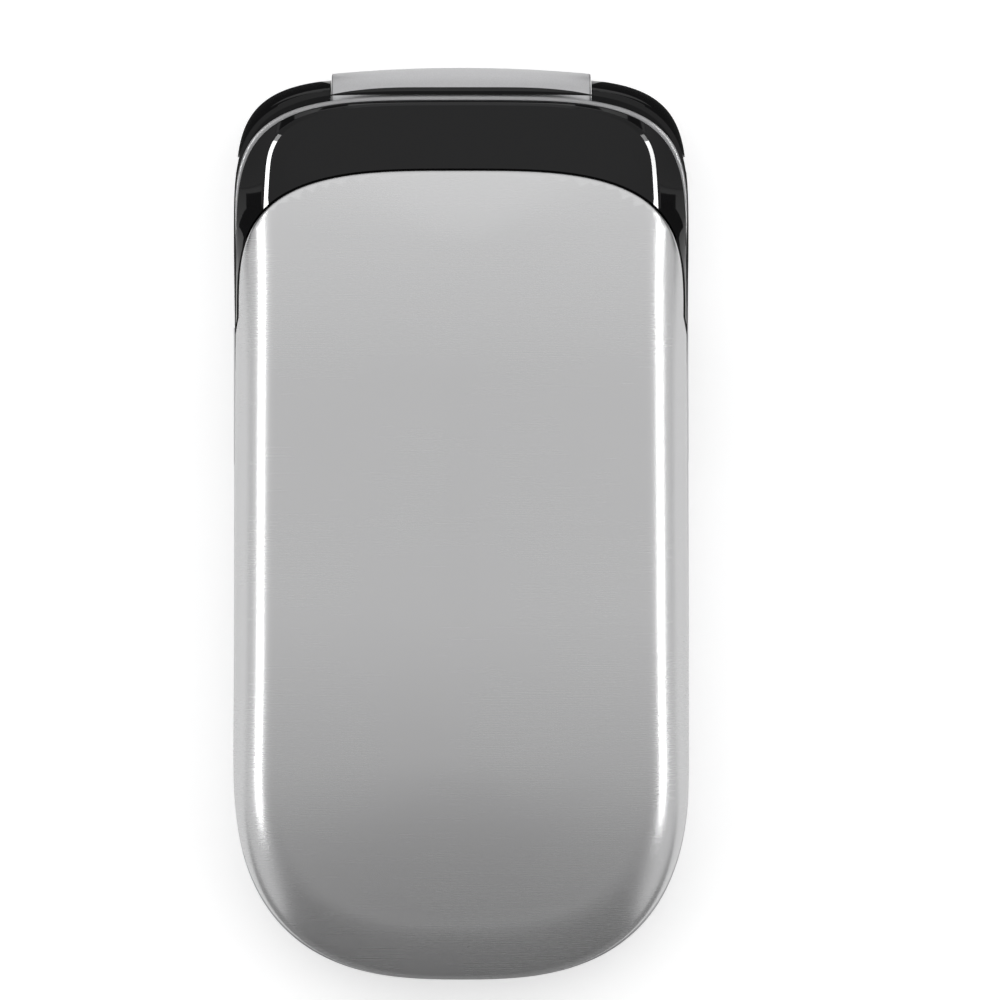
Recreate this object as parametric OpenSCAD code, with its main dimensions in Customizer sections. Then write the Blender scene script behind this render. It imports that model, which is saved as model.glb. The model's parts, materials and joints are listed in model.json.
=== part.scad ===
// A clamshell phone, closed: a base with a keypad and battery, and a lid with a display.
// It lies on its back. +Z is out of the lid's cover, +Y points to the hinge, +X to the right.
// The origin is under the middle of the phone, on the surface that it lies on.

/* [Overall] */
// Width across the widest part of the sides
phone_w = 46.2; // [44:0.2:50]
// Length from the low end to the tip of the hinge barrel
phone_l = 92; // [90:0.5:100]
// Height of the base, from its back to the parting line
base_h = 9.8; // [9.8:0.1:11]
// Height of the lid, from its rim to the crown
lid_h = 7.8; // [7.8:0.1:9]
// Gap between the closed lid and the base
parting_gap = 0.4; // [0.4:0.05:0.6]

/* [Outline] */
// How far the low end's rounding reaches up the sides
low_reach = 23; // [20:0.5:26]
// Squareness of the low end, 2 is an ellipse
low_power = 2.73; // [2.4:0.01:3.2]
// How far the hinge end's rounding reaches down the sides
high_reach = 17.2; // [15:0.1:19]
// Squareness of the hinge end
high_power = 4.8; // [4:0.1:5.6]
// How much narrower each side is at the hinge end
side_taper = 0.15; // [0:0.05:0.4]
// How far the ears' tips stay behind the barrel's tip
ear_setback = 0.8; // [0.6:0.1:1.2]
// Segments round each end of an outline
plan_steps = 24; // [16:2:28]
// Points along each straight side of an outline
side_steps = 5; // [3:1:8]

/* [Hinge] */
// Radius of the hinge barrel at its middle
barrel_r = 4.6; // [4.4:0.1:4.8]
// Length of the hinge barrel
barrel_w = 26; // [22:0.5:28]
// How much slimmer the barrel is at its ends
barrel_bow = 0.6; // [0.2:0.1:0.8]
// Radius of the two ears
ear_r = 4.4; // [4:0.1:4.6]
// Rounding of the ears' outer ends
ear_round = 2.2; // [1.2:0.1:2.6]
// Gap between an ear and the barrel's end
ear_gap = 0.3; // [0.2:0.05:0.5]
// Gap round the barrel and the ears to the other half
swing_gap = 0.3; // [0.25:0.05:0.4]
// Radius of the barrel's main bore
barrel_bore_r = 2.7; // [2.5:0.05:2.9]
// Radius of the hinge shaft
shaft_r = 1.5; // [1.2:0.05:1.6]
// How deep the shaft and the bush reach into the ears
ear_bore_depth = 4; // [3:0.1:4.2]
// Radius of the hollow bush
bush_r = 1.6; // [1.4:0.05:1.7]
// Bore of the hollow bush
bush_bore_r = 1; // [0.8:0.05:1.1]
// How deep the bush reaches into the barrel
bush_depth = 6; // [5:0.5:7]
// Length of the hinge cartridge
cartridge_l = 10.9; // [10:0.1:12]
// Wall of the hinge cartridge
cartridge_wall = 0.4; // [0.3:0.05:0.5]
// Wire of the hinge spring
spring_wire = 0.4; // [0.3:0.05:0.5]
// Turns of the hinge spring
spring_turns = 5; // [4:1:7]

/* [Lid] */
// How far the lid's sides stay inside the base's
lid_inset = 0.2; // [0.1:0.05:0.4]
// How far the lid's low end stays inside the base's
lid_low_setback = 0.3; // [0.2:0.05:0.6]
// Squareness of the lid's low end
lid_low_power = 2.64; // [2.4:0.01:3]
// How much narrower the lid's cap is at the hinge end
cap_taper = 0.3; // [0.2:0.05:0.5]
// How far the cap's edge stays behind the barrel's tip
cap_setback = 2.9; // [2.6:0.1:3.4]
// How far the cap's rounding reaches down the sides
cap_reach = 16; // [14:0.5:18]
// Squareness of the cap
cap_power = 3.9; // [3.4:0.1:4.6]
// How far the skirt under the cap stays behind the barrel's tip
skirt_setback = 1.8; // [1.6:0.1:2.2]
// Squareness of the skirt
skirt_power = 4.2; // [3.8:0.1:4.8]
// Chamfer on the skirt's edge
skirt_chamfer = 0.4; // [0.2:0.05:0.5]
// Width of the roll along the lid's sides
side_roll = 4.2; // [3.4:0.1:5]
// Width of the roll at the low end
low_roll = 6; // [5:0.2:8]
// Width of the roll at the cap's edge
cap_roll = 2; // [1.4:0.1:3]
// Crown across the lid's middle
crown = 0.9; // [0.5:0.05:1.2]
// Steps of the roll round the lid's edge
roll_steps = 6; // [5:1:8]
// How far the lid's top falls towards the low end
low_fall = 2.8; // [2:0.1:3.2]
// Where that fall starts, from the middle of the phone
low_fall_from = 8; // [4:0.5:14]
// How far the lid's top falls towards the hinge
high_fall = 1.3; // [0.8:0.1:1.5]
// Where that fall starts, from the middle of the phone
high_fall_from = 15; // [10:0.5:20]
// Height of the upright rim below the roll
rim_h = 2; // [1.8:0.1:2.4]
// How much the rim rises towards the cap's edge
rim_rise = 3; // [2.4:0.1:3.2]
// Where the rim starts to rise, from the middle of the phone
rim_rise_from = 15; // [10:0.5:20]
// Length over which the rim rises
rim_rise_l = 25; // [20:0.5:28]
// Wall of the lid frame
frame_wall = 0.85; // [0.7:0.05:1]
// Width of the frame's edge round the inner bezel
frame_edge = 1.9; // [1.7:0.05:2.3]
// Height of a lid screw's pilot hole above the bezel
pilot_depth = 2.4; // [2:0.1:2.6]
// Distance of the low lid screws from the side
lid_post_low_x = 7.9; // [7.6:0.1:8.6]
// Distance of the low lid screws from the low end
lid_post_low_y = 9.8; // [9.6:0.1:10.4]
// Distance of the high lid screws from the side
lid_post_high_x = 6.1; // [6:0.1:7]
// Distance of the high lid screws from the hinge axis
lid_post_high_y = 8.3; // [8:0.1:9.5]

/* [Lid cover] */
// Thickness of the outer cover
cover_t = 1; // [0.8:0.05:1.1]
// How far the cover's surface stands above the cap's
cover_step = 0.25; // [0.15:0.05:0.4]
// How far the cover's upper edge stays behind the barrel's tip
cover_setback = 10.2; // [9:0.1:12]
// How far the cover's upper edge reaches down the sides
cover_reach = 15; // [13:0.5:17]
// Squareness of the cover's upper edge
cover_power = 3.3; // [2.8:0.1:4]
// Groove round the cover's upper edge
cover_groove = 0.2; // [0.1:0.05:0.3]

/* [Display] */
// Width of the display window
window_w = 33; // [30:0.5:34]
// Height of the display window
window_l = 43; // [38:0.5:45]
// Thickness of the display window
window_t = 0.8; // [0.6:0.05:0.9]
// Middle of the display, below the middle of the phone
display_low = 5; // [4:0.5:6.5]
// Thickness of the inner bezel
bezel_t = 1; // [0.9:0.05:1.2]
// Border of the display module round the window
module_border = 1.4; // [1:0.1:1.8]
// Thickness of the display module
module_t = 2.5; // [2:0.1:2.6]
// Thickness of the display's glass panel
panel_t = 1.1; // [0.9:0.05:1.3]
// Thickness of the lid's circuit board
lid_board_t = 0.7; // [0.5:0.05:0.8]
// Gap from the lid's board to the wall at the hinge
lid_board_gap = 1.6; // [1:0.1:2.5]
// Width of the magnet that tells the phone it is closed
magnet_w = 4; // [3:0.1:4.4]
// Length of the magnet
magnet_l = 3; // [2:0.1:3.4]
// Thickness of the magnet
magnet_t = 1.2; // [0.8:0.1:1.5]
// Distance from the earpiece to the magnet
magnet_gap = 1.2; // [0.8:0.1:1.5]

/* [Earpiece] */
// Width of the earpiece
earpiece_w = 11; // [9:0.5:13]
// Length of the earpiece
earpiece_l = 5.4; // [4.5:0.1:5.8]
// Thickness of the earpiece
earpiece_t = 1.6; // [1.2:0.1:1.8]
// Middle of the earpiece, from the lid's low end
earpiece_from_end = 10.2; // [9.8:0.1:10.6]
// Width of the earpiece's slot
slot_w = 9; // [6:0.5:9.5]
// Height of the earpiece's slot
slot_l = 1.6; // [1.2:0.1:2]

/* [Base shell] */
// Width of the roll from the sides to the back
base_roll = 4.5; // [3.8:0.1:4.8]
// Height at which the base is widest
waist_z = 5.2; // [4.8:0.1:5.4]
// Lean of the sides above the waist
base_draft = 0.15; // [0.05:0.05:0.3]
// Height of the line where the front and rear cases meet
case_line_z = 7.3; // [7.3:0.05:7.5]
// Radius of the heel, where the back rises to the hinge
heel_r = 9.55; // [9.2:0.05:10]
// How far in front of the hinge axis the heel starts
heel_from_axis = 10.4; // [10.2:0.1:11.2]
// How far in front of the hinge axis the heel ends
heel_end = 2.5; // [2.3:0.1:3]
// Radius of the nose that ends the heel
heel_nose_r = 1.6; // [1.2:0.1:2]
// Corner radius of the heel, seen from the back
heel_corner = 5; // [3:0.5:7]
// Wall of the front case over the keypad
face_wall = 1.1; // [1:0.05:1.2]
// Wall round the inside of the cases
case_wall = 1.6; // [1.4:0.1:1.9]
// Wall between the board's tray and the hinge barrel
barrel_wall = 1.2; // [0.9:0.1:1.5]
// Extra wall round the pocket at the low end
pocket_wall = 1.2; // [1:0.1:1.6]
// Floor of the pocket at the low end
pocket_z = 1.6; // [1.5:0.1:2]
// Distance of the low base screws from the side
post_low_x = 6.7; // [6.6:0.1:7.2]
// Distance of the low base screws from the low end
post_low_y = 8.4; // [8.3:0.1:9]
// Distance of the high base screws from the side
post_high_x = 5.3; // [5.2:0.1:6]
// Distance of the high base screws from the hinge axis
post_high_y = 11.4; // [11:0.1:12.4]
// Thickness of the floor over the battery
bay_floor_t = 0.9; // [0.85:0.05:1]

/* [Battery] */
// Width of the battery
battery_w = 31.2; // [29:0.2:32]
// Length of the battery
battery_l = 44; // [40:0.5:45]
// Thickness of the battery
battery_t = 3.4; // [3.2:0.05:3.5]
// Width of a battery contact
contact_w = 1; // [0.8:0.1:1.4]
// Spacing of the battery contacts
contact_pitch = 2.6; // [2.4:0.1:3]
// Width of the contacts' carrier
contacts_w = 8.4; // [8:0.1:9]
// Thickness of the contacts' carrier
contacts_t = 1.2; // [1:0.1:1.3]
// Room for the carrier in the bay's end wall
contacts_room = 1.5; // [1.5:0.1:1.8]
// Wall between the battery's bay and the low pocket
bay_wall = 1.4; // [1:0.1:2]
// Thickness of the battery cover
back_cover_t = 0.9; // [0.8:0.05:1]
// Margin from the outline to the battery cover's edge
back_cover_margin = 4.8; // [4.6:0.1:5.2]
// How far the battery cover reaches past the battery's bay, towards the hinge
back_cover_top = 1.2; // [1:0.1:1.8]
// How far the battery cover lies behind the back's surface
back_recess = 0.1; // [0.05:0.05:0.2]
// Corner radius of the battery cover's end at the hinge
back_cover_corner = 2.5; // [1.5:0.1:4]
// Grip grooves in the battery cover
grip_count = 5; // [3:1:6]
// Spacing of the grip grooves
grip_pitch = 1.6; // [1.2:0.1:2]
// Length of the grip grooves
grip_w = 12; // [8:0.5:16]
// Depth of the grip grooves in the battery cover
grip_depth = 0.3; // [0.2:0.05:0.4]

/* [SIM card] */
// Width of the card
sim_w = 15; // [15:0.1:15.2]
// Length of the card
sim_l = 25; // [25:0.1:25.2]
// Thickness of the card
sim_t = 0.74; // [0.7:0.02:0.76]
// Upper edge of the seated card, below the end of the battery's bay
sim_top = 1.4; // [1:0.1:2.5]
// How far the card slides out
sim_travel = 16; // [12:0.5:16.5]
// Length of the card holder
sim_holder_l = 16; // [12:0.5:18]
// Sheet of the card holder
sim_sheet = 0.15; // [0.1:0.01:0.16]

/* [Keypad] */
// Width of a number key
key_w = 10.6; // [9:0.2:10.6]
// Height of a number key
key_l = 7.4; // [6:0.2:7.8]
// Spacing of the columns
key_pitch_x = 11.8; // [11.7:0.1:12.2]
// Spacing of the rows
key_pitch_y = 8.8; // [8.6:0.1:9]
// Middle of the lowest row of numbers, from the low end
key_row_low = 15.2; // [14.8:0.1:16]
// Corner radius of the keys
key_corner = 1.6; // [1:0.1:2]
// How far the keys stand above the face
key_proud = 0.2; // [0.1:0.02:0.24]
// Gap round a key
key_gap = 0.15; // [0.1:0.01:0.2]
// Lip that holds a key under the face
key_lip = 0.5; // [0.3:0.05:0.5]
// Thickness of that lip
key_lip_t = 0.45; // [0.35:0.05:0.5]
// Travel of a key
key_travel = 0.3; // [0.2:0.02:0.32]
// Radius of the pin under a key
key_pin_r = 1.2; // [0.8:0.1:1.4]
// Rest gap between a key's pin and its dome, beyond the travel
key_rest = 0.02; // [0.01:0.01:0.03]
// Width of the soft, send and end keys
side_key_w = 7.4; // [7:0.2:7.6]
// Height of the soft, send and end keys
side_key_l = 7; // [6:0.2:7.2]
// Middle of the side keys, from the middle of the phone across
side_key_x = 14.2; // [14.1:0.1:14.4]
// Middle of the soft keys, above the top row of numbers
soft_key_y = 23.6; // [23.4:0.1:24.2]
// Middle of the send and end keys, above the top row of numbers
call_key_y = 14.4; // [14:0.1:14.8]
// Width of the navigation ring
nav_w = 18; // [16:0.2:18.2]
// Height of the navigation ring
nav_l = 15; // [13:0.2:15.4]
// Corner radius of the navigation ring
nav_corner = 5; // [4:0.1:6]
// Middle of the navigation ring, above the top row of numbers
nav_y = 21.2; // [20.8:0.1:21.6]
// Radius of the select key
select_r = 3.6; // [3:0.1:4]
// Width of the clear key
clear_w = 9; // [7:0.2:10]
// Height of the clear key
clear_l = 4.6; // [4:0.1:4.8]
// Middle of the clear key, above the top row of numbers
clear_y = 8.7; // [8.5:0.1:8.9]
// Radius of a key's dome
dome_r = 2; // [1.5:0.1:2.2]

/* [Side controls] */
// Length of the volume rocker
rocker_l = 14; // [12:0.5:15]
// Height of the volume rocker
rocker_h = 2.2; // [1.8:0.1:2.4]
// Depth of the scallop for the thumb
scallop_depth = 0.35; // [0.2:0.05:0.4]
// Radius of the scallop for the thumb
scallop_r = 60; // [50:5:90]
// Height of the scallop for the thumb
scallop_h = 3.6; // [3.2:0.1:4]
// Depth of the rocker's bar
rocker_bar = 2; // [1.8:0.1:2.2]
// Flange that holds the rocker in the case
rocker_flange = 0.5; // [0.4:0.05:0.6]
// Middle of the side controls, above the middle of the phone
side_y = 13; // [12:0.5:15]
// Middle height of the side controls
side_z = 4.6; // [4.4:0.1:4.8]
// Length of the charging socket
socket_l = 10; // [8:0.5:10.5]
// Height of the charging socket
socket_h = 2.6; // [2.2:0.1:2.8]
// Depth of the charging socket
socket_depth = 3; // [2.6:0.1:3.2]
// Wall of the charging socket
socket_wall = 0.4; // [0.3:0.05:0.5]
// How far the socket lies behind the side
socket_setback = 1.6; // [1.5:0.1:1.8]
// Length of the port cover
port_cover_l = 13; // [12:0.5:14]
// Height of the port cover
port_cover_h = 4; // [3.6:0.1:4.2]
// Thickness of the port cover
port_cover_t = 0.9; // [0.8:0.05:1]
// Length of the plug on the port cover
port_plug_l = 7.6; // [6:0.2:8.4]
// Depth of the plug on the port cover
port_plug_t = 1.6; // [1.2:0.1:1.8]

/* [Electronics] */
// Thickness of the main board
board_t = 0.7; // [0.6:0.05:0.7]
// Thickness of the dome sheet
dome_sheet_t = 0.13; // [0.1:0.01:0.15]
// Rise of a dome above its sheet
dome_h = 0.15; // [0.1:0.01:0.17]
// Radius of the microphone
mic_r = 1.9; // [1.5:0.1:2]
// Middle of the microphone, from the low end
mic_from_end = 7.4; // [7.2:0.1:7.8]
// Radius of the microphone's hole
mic_hole_r = 0.5; // [0.3:0.05:0.6]
// Width of a shield can
shield_w = 13; // [11:0.5:13.5]
// Length of a shield can
shield_l = 5.6; // [4:0.2:6]
// Height of a shield can
shield_h = 1.8; // [1.4:0.1:2]
// Middle of the low shield can, left of the middle
shield_left = 6; // [5:0.5:7]
// Middle of the high shield can, right of the middle
shield_right = 8.3; // [7.5:0.1:8.8]
// Width of the antenna
antenna_w = 22; // [18:0.5:24]
// Length of the antenna
antenna_l = 3; // [2:0.1:3.4]
// Middle of the motor and the low shield can, from the low end
motor_from_end = 12.6; // [12:0.1:13.4]
// Radius of the vibration motor
motor_r = 2; // [1.6:0.1:2.1]
// Length of the vibration motor
motor_l = 8; // [7:0.5:9]
// Left end of the vibration motor
motor_left = 2; // [1:0.1:2.4]
// Radius of the motor's shaft
motor_shaft_r = 0.4; // [0.3:0.05:0.5]
// Length of the weight on the motor's shaft
weight_l = 2.7; // [2:0.1:3]
// How much smaller the weight is than the motor
weight_less = 0.25; // [0.2:0.05:0.5]
// Width of the loudspeaker
speaker_w = 15; // [13:0.5:16]
// Length of the loudspeaker
speaker_l = 6; // [5:0.1:6.2]
// Thickness of the loudspeaker
speaker_t = 2.6; // [2:0.1:3]
// Floor under the loudspeaker
speaker_floor = 2.2; // [1.8:0.1:2.4]
// Middle of the loudspeaker, left of the middle
speaker_left = 7.6; // [7.2:0.1:7.8]
// Slots over the loudspeaker
speaker_slots_n = 5; // [3:1:6]
// Spacing of the slots over the loudspeaker
speaker_pitch = 2; // [1.6:0.1:2.2]
// Width of a slot over the loudspeaker
speaker_slot_w = 0.8; // [0.6:0.1:1]
// Length of a slot over the loudspeaker
speaker_slot_l = 4; // [3:0.2:4.6]

/* [Fasteners] */
// Radius of a screw's shank
screw_r = 0.6; // [0.5:0.05:0.7]
// Radius of a screw's head
screw_head_r = 1.1; // [1:0.05:1.2]
// Height of a screw's head
screw_head_h = 0.6; // [0.5:0.05:0.65]
// Radius of a screw post
post_r = 1.6; // [1.5:0.05:1.7]
// Height at which the base screws' heads sit
screw_seat_z = 1.4; // [1.3:0.05:1.5]
// Radius of a rubber bumper
bumper_r = 1.1; // [1.1:0.05:1.3]

/* [Clearances] */
// Gap between parts that are assembled and stay put
seat_gap = 0.05; // [0.03:0.01:0.08]
// Gap round pieces that lift or slide out
lift_gap = 0.2; // [0.15:0.01:0.25]
// Radial gap of a running fit
run_gap = 0.05; // [0.03:0.01:0.08]

/* [Hidden] */
$fn = 48;
NUMBERS = ["1", "2", "3", "4", "5", "6", "7", "8", "9", "star", "0", "hash"];

half_l = phone_l / 2;
half_w = phone_w / 2;
far = 2 * phone_l;                       // longer than anything, for cuts
lid_z = base_h + parting_gap;            // the lid's rim
hinge_z = base_h + parting_gap / 2;
hinge_y = half_l - barrel_r;
top_z = lid_z + lid_h;
barrel_x = barrel_w / 2;
ear_x = barrel_x + ear_gap;

// The centres from which the corners of each outline reach out
base_low_y = -half_l + low_reach;
base_high_y = half_l - ear_setback - high_reach;
lid_low_reach = low_reach - lid_low_setback;
cap_high_y = half_l - cap_setback - cap_reach;
skirt_reach = cap_reach + cap_setback - skirt_setback;

// Heights inside the base, from the back upwards
half_play = 0.3;                         // room at each end of the loudspeaker
recess_z = back_recess + back_cover_t + seat_gap * 2;
battery_z = recess_z + seat_gap * 2;
bay_top_z = battery_z + battery_t + lift_gap;
tray_z = bay_top_z + bay_floor_t;
board_z = tray_z + seat_gap;
sheet_z = board_z + board_t + seat_gap / 2;
face_z = base_h - face_wall;             // the underside of the keypad's face
lip_z = face_z - key_lip_t - key_gap;    // the underside of a key's lip
key_top_z = base_h + key_proud;
pin_z = sheet_z + dome_sheet_t + dome_h + key_travel + key_rest;    // the end of a key's pin

// Middles of the keys, the left ones being mirrored
pad_y = -half_l + key_row_low + 3 * key_pitch_y;    // the top row of numbers
soft_at = [side_key_x, pad_y + soft_key_y];
call_at = [side_key_x, pad_y + call_key_y];
clear_at = [0, pad_y + clear_y];
nav_at = [0, pad_y + nav_y];
nav_side = nav_w / 2 - 2.2;              // the domes under the ring
nav_end = nav_l / 2 - 2.1;

// Heights inside the lid, from the rim upwards
bezel_z = lid_z + seat_gap * 2;
module_z = bezel_z + bezel_t + seat_gap;
lid_board_z = module_z + module_t + seat_gap;

bay_w = battery_w + 2 * lift_gap;
bay_l = battery_l + 2 * lift_gap;
back_cover_y = bay_l / 2 + back_cover_top;
lid_room_y = hinge_y - barrel_r - swing_gap - frame_wall;    // where the lid's inside ends at the hinge
tray_top_y = hinge_y - barrel_r - barrel_wall;
speaker_y = tray_top_y - speaker_l / 2 - 2 * half_play;
motor_y = -half_l + motor_from_end;
motor_z = pocket_z + motor_r + seat_gap;
mic_y = -half_l + mic_from_end;
earpiece_y = -half_l + earpiece_from_end;
lid_posts = [[half_w - lid_post_low_x, -half_l + lid_post_low_y],
    [half_w - lid_post_high_x, hinge_y - lid_post_high_y]];
base_posts = [[half_w - post_low_x, -half_l + post_low_y], [half_w - post_high_x, hinge_y - post_high_y]];

// ---- outlines ----

function signed_power(v, p) = sign(v) * pow(abs(v), p);
function smooth(v) = let (c = min(1, max(0, v))) c * c * (3 - 2 * c);
function ramp(v, p) = pow(min(1, max(0, v)), p);

// Half an outline's corners: a superellipse arc of plan_steps segments, starting at angle a
function end_arc(half, mid_y, reach, power, a) = [for (i = [0 : plan_steps])
    let (t = a + 180 * i / plan_steps)
    [half * signed_power(cos(t), 2 / power), mid_y + reach * signed_power(sin(t), 2 / power)]];

// The points between two ends of an outline, along a straight side
function side_run(p, q) = [for (i = [1 : side_steps]) p + (q - p) * i / (side_steps + 1)];

// An outline through two ends and the sides between them, anticlockwise from the hinge end's right
function closed_plan(high, low) = concat(high, side_run(high[plan_steps], low[0]), low,
    side_run(low[plan_steps], high[0]));

// The base's outline, drawn in by an inset
function base_plan(inset) = closed_plan(
    end_arc(half_w - side_taper - inset, base_high_y, high_reach - inset, high_power, 0),
    end_arc(half_w - inset, base_low_y, low_reach - inset, low_power, 180));

// The lid's outline, drawn in by different amounts at its sides, low end and high end, then shrunk by s
function lid_plan(side, low, high, s) = closed_plan(
    end_arc(s * (half_w - lid_inset - cap_taper - side), cap_high_y, s * (cap_reach - high), cap_power, 0),
    end_arc(s * (half_w - lid_inset - side), base_low_y, s * (lid_low_reach - low), lid_low_power, 180));

// The edge of the cover towards the cap; below its reach it flares past the lid's sides
function cover_plan(grow) = concat(
    end_arc(half_w - lid_inset - 0.1 + grow, half_l - cover_setback - cover_reach, cover_reach + grow,
        cover_power, 0),
    [[-half_w - 1, half_l - cover_setback - cover_reach - 9], [-half_w - 1, -half_l - 1],
     [half_w + 1, -half_l - 1], [half_w + 1, half_l - cover_setback - cover_reach - 9]]);

// A rectangle with round corners, about the origin
function round_rect(w, l, r) = [for (q = [0 : 3], i = [0 : 4])
    let (t = 90 * q + 22.5 * i, sx = (q == 0 || q == 3) ? 1 : -1, sy = q < 2 ? 1 : -1)
    [sx * (w / 2 - r) + r * cos(t), sy * (l / 2 - r) + r * sin(t)]];

// ---- heights of the lid ----

function rim_z(y) = lid_z + rim_h + rim_rise * smooth((y - rim_rise_from) / rim_rise_l);
function shoulder_z(y) = top_z - crown
    - low_fall * ramp((-y - low_fall_from) / (half_l - low_fall_from), 2.2)
    - high_fall * ramp((y - high_fall_from) / (half_l - high_fall_from), 2);

// ---- lofts ----

// A closed solid through rings of equal length, each turning anticlockwise from above.
// Strips from side to side close both ends, which keeps a crown's curve along the middle.
module loft(rings) {
    n = len(rings[0]);
    tip = plan_steps / 2;                // the ring's point in the middle of the hinge end
    sides = [for (k = [0 : len(rings) - 2], i = [0 : n - 1])
        let (a = k * n + i, b = k * n + (i + 1) % n, c = b + n, d = a + n)
        each [[a, c, b], [a, d, c]]];
    function strip(first) = [for (k = [0 : n / 2 - 1])
        let (a = first + (tip + k) % n, b = first + (tip + k + 1) % n,
            c = first + (tip - k - 1 + n) % n, d = first + (tip - k + n) % n)
        each k == 0 ? [[a, c, b]] : k == n / 2 - 1 ? [[a, d, b]] : [[a, d, c], [a, c, b]]];
    under = [for (f = strip(0)) [f[2], f[1], f[0]]];
    polyhedron(points = [for (r = rings) each r],
        faces = concat(under, sides, strip((len(rings) - 1) * n)));
}

function lift(plan, zs) = [for (i = [0 : len(plan) - 1]) [plan[i].x, plan[i].y, zs[i]]];

// The lid's crowned form, drawn in by an inset and lowered by a drop, down to its rim
module lid_form(inset, drop, roll_steps) {
    flat = lid_plan(inset, inset, inset, 1);
    rolls = [for (k = [0 : roll_steps])
        let (t = 90 * k / roll_steps, u = 1 - cos(t),
            p = lid_plan(inset + side_roll * u, inset + low_roll * u, inset + cap_roll * u, 1))
        lift(p, [for (v = p) rim_z(v.y) + (shoulder_z(v.y) - drop - rim_z(v.y)) * sin(t)])];
    crowns = [for (s = [0.7, 0.4, 0.1])
        let (p = lid_plan(inset + side_roll, inset + low_roll, inset + cap_roll, s))
        lift(p, [for (v = p) shoulder_z(v.y) - drop + crown * (1 - s * s)])];
    loft(concat([lift(flat, [for (v = flat) lid_z])], rolls, crowns));
}

// The base's form: rolled from a flat back out to the waist, then leaning in to the parting line
module base_form() {
    rolls = [for (k = [0 : 5])
        let (t = 18 * k, p = base_plan(base_roll * (1 - sin(t))))
        lift(p, [for (v = p) waist_z * (1 - cos(t))])];
    top = base_plan(base_draft);
    intersection() {
        loft(concat(rolls, [lift(top, [for (v = top) base_h])]));
        heel_cut();
        rounded(2 * (half_w - side_taper), phone_l, heel_corner, -1, far, 0, hinge_y - heel_end - half_l);
    }
}

// Side view of the base, whose back rises in an arc to the hinge
module heel_cut() {
    y0 = hinge_y - heel_from_axis;
    y1 = hinge_y - heel_end;
    // the heel's arc runs into the nose, which turns up to the vertical
    end_a = asin((y1 - heel_nose_r - y0) / (heel_r - heel_nose_r));
    arc = [for (i = [0 : 8]) let (t = end_a * i / 8) [y0 + heel_r * sin(t), heel_r * (1 - cos(t))]];
    nose_z = heel_r - (heel_r - heel_nose_r) * cos(end_a);
    nose = [for (i = [1 : 5]) let (t = end_a + (90 - end_a) * i / 5)
        [y1 - heel_nose_r * (1 - sin(t)), nose_z - heel_nose_r * cos(t)]];
    rotate([90, 0, 90]) translate([0, 0, -half_w - 1]) linear_extrude(phone_w + 2)
        polygon(concat([[-half_l - 1, 0]], arc, nose, [[y1, base_h + 1], [-half_l - 1, base_h + 1]]));
}

// ---- small helpers ----

module slab(plan, z0, z1) translate([0, 0, z0]) linear_extrude(z1 - z0) polygon(plan);
module block(w, l, z0, z1, x = 0, y = 0)
    translate([x - w / 2, y - l / 2, z0]) cube([w, l, z1 - z0]);
module rounded(w, l, r, z0, z1, x = 0, y = 0)
    translate([x, y, z0]) linear_extrude(z1 - z0) polygon(round_rect(w, l, r));
module disc(r, z0, z1, x = 0, y = 0) translate([x, y, z0]) cylinder(r = r, h = z1 - z0);
// A round bar along the hinge axis, from x0 to x1
module on_hinge(r, x0, x1) translate([x0, hinge_y, hinge_z]) rotate([0, 90, 0]) cylinder(r = r, h = x1 - x0);
module both_sides() for (m = [0, 1]) mirror([m, 0, 0]) children();
// Keeps what lies below y on the hinge side
module up_to(y) intersection() {
    children();
    translate([-far / 2, y - far, -far / 2]) cube(far);
}

// ---- lid ----

module lid_cover() color("silver") intersection() {
    difference() {
        lid_form(0, 0, roll_steps);
        lid_form(cover_t, cover_t, roll_steps - 1);
    }
    slab(cover_plan(0), lid_z + rim_h, top_z + 1);
}

module lid_frame() color("#141416") difference() {
    union() {
        difference() {
            union() {
                lid_form(0, cover_step, roll_steps);
                lid_skirt();
            }
            slab(cover_plan(cover_groove), lid_z + rim_h - seat_gap, top_z + 1);
        }
        lid_form(cover_t + seat_gap, cover_t + seat_gap, roll_steps - 1);
        ears();
    }
    lid_cavity();
    both_sides() for (p = lid_posts) disc(screw_r, 0, bezel_z + bezel_t + pilot_depth, p.x, p.y);
    on_hinge(barrel_r + swing_gap, -ear_x, ear_x);
    on_hinge(shaft_r + run_gap / 2, -ear_x - ear_bore_depth, 0);
    on_hinge(bush_r + run_gap / 2, 0, ear_x + ear_bore_depth);
}

// Round bars along the hinge axis, whose outer ends follow the outline and roll in above and below
module ears() intersection() {
    both_sides() on_hinge(ear_r, ear_x, half_w);
    loft([for (k = [-3 : 3])
        let (t = 30 * k, p = base_plan(lid_inset + ear_round * (1 - cos(t))))
        lift(p, [for (v = p) hinge_z + ear_r * sin(t)])]);
}

// The low step round the cap's edge, which runs out along the sides
module lid_skirt() {
    grow = half_w - lid_inset - seat_gap;
    function ring(inset) = closed_plan(
        end_arc(grow - inset, cap_high_y, skirt_reach - inset, skirt_power, 0),
        end_arc(grow - cap_taper - inset, 5, 2, 2, 180));
    edge = ring(0);
    inner = ring(skirt_chamfer);
    loft([lift(edge, [for (v = edge) lid_z]),
        lift(edge, [for (v = edge) rim_z(v.y) - 0.15 - skirt_chamfer]),
        lift(inner, [for (v = inner) rim_z(v.y) - 0.15])]);
}

// The room inside the lid, with the screw posts left standing in it
module lid_cavity() difference() {
    up_to(lid_room_y) translate([0, 0, -1]) {
        lid_form(frame_edge, cover_t + frame_wall - 1, roll_steps - 2);
        slab(lid_plan(frame_edge, frame_edge, frame_edge, 1), lid_z - 1, lid_z + 1.5);
    }
    both_sides() for (p = lid_posts) disc(post_r, bezel_z + bezel_t + seat_gap, top_z, p.x, p.y);
}

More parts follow.
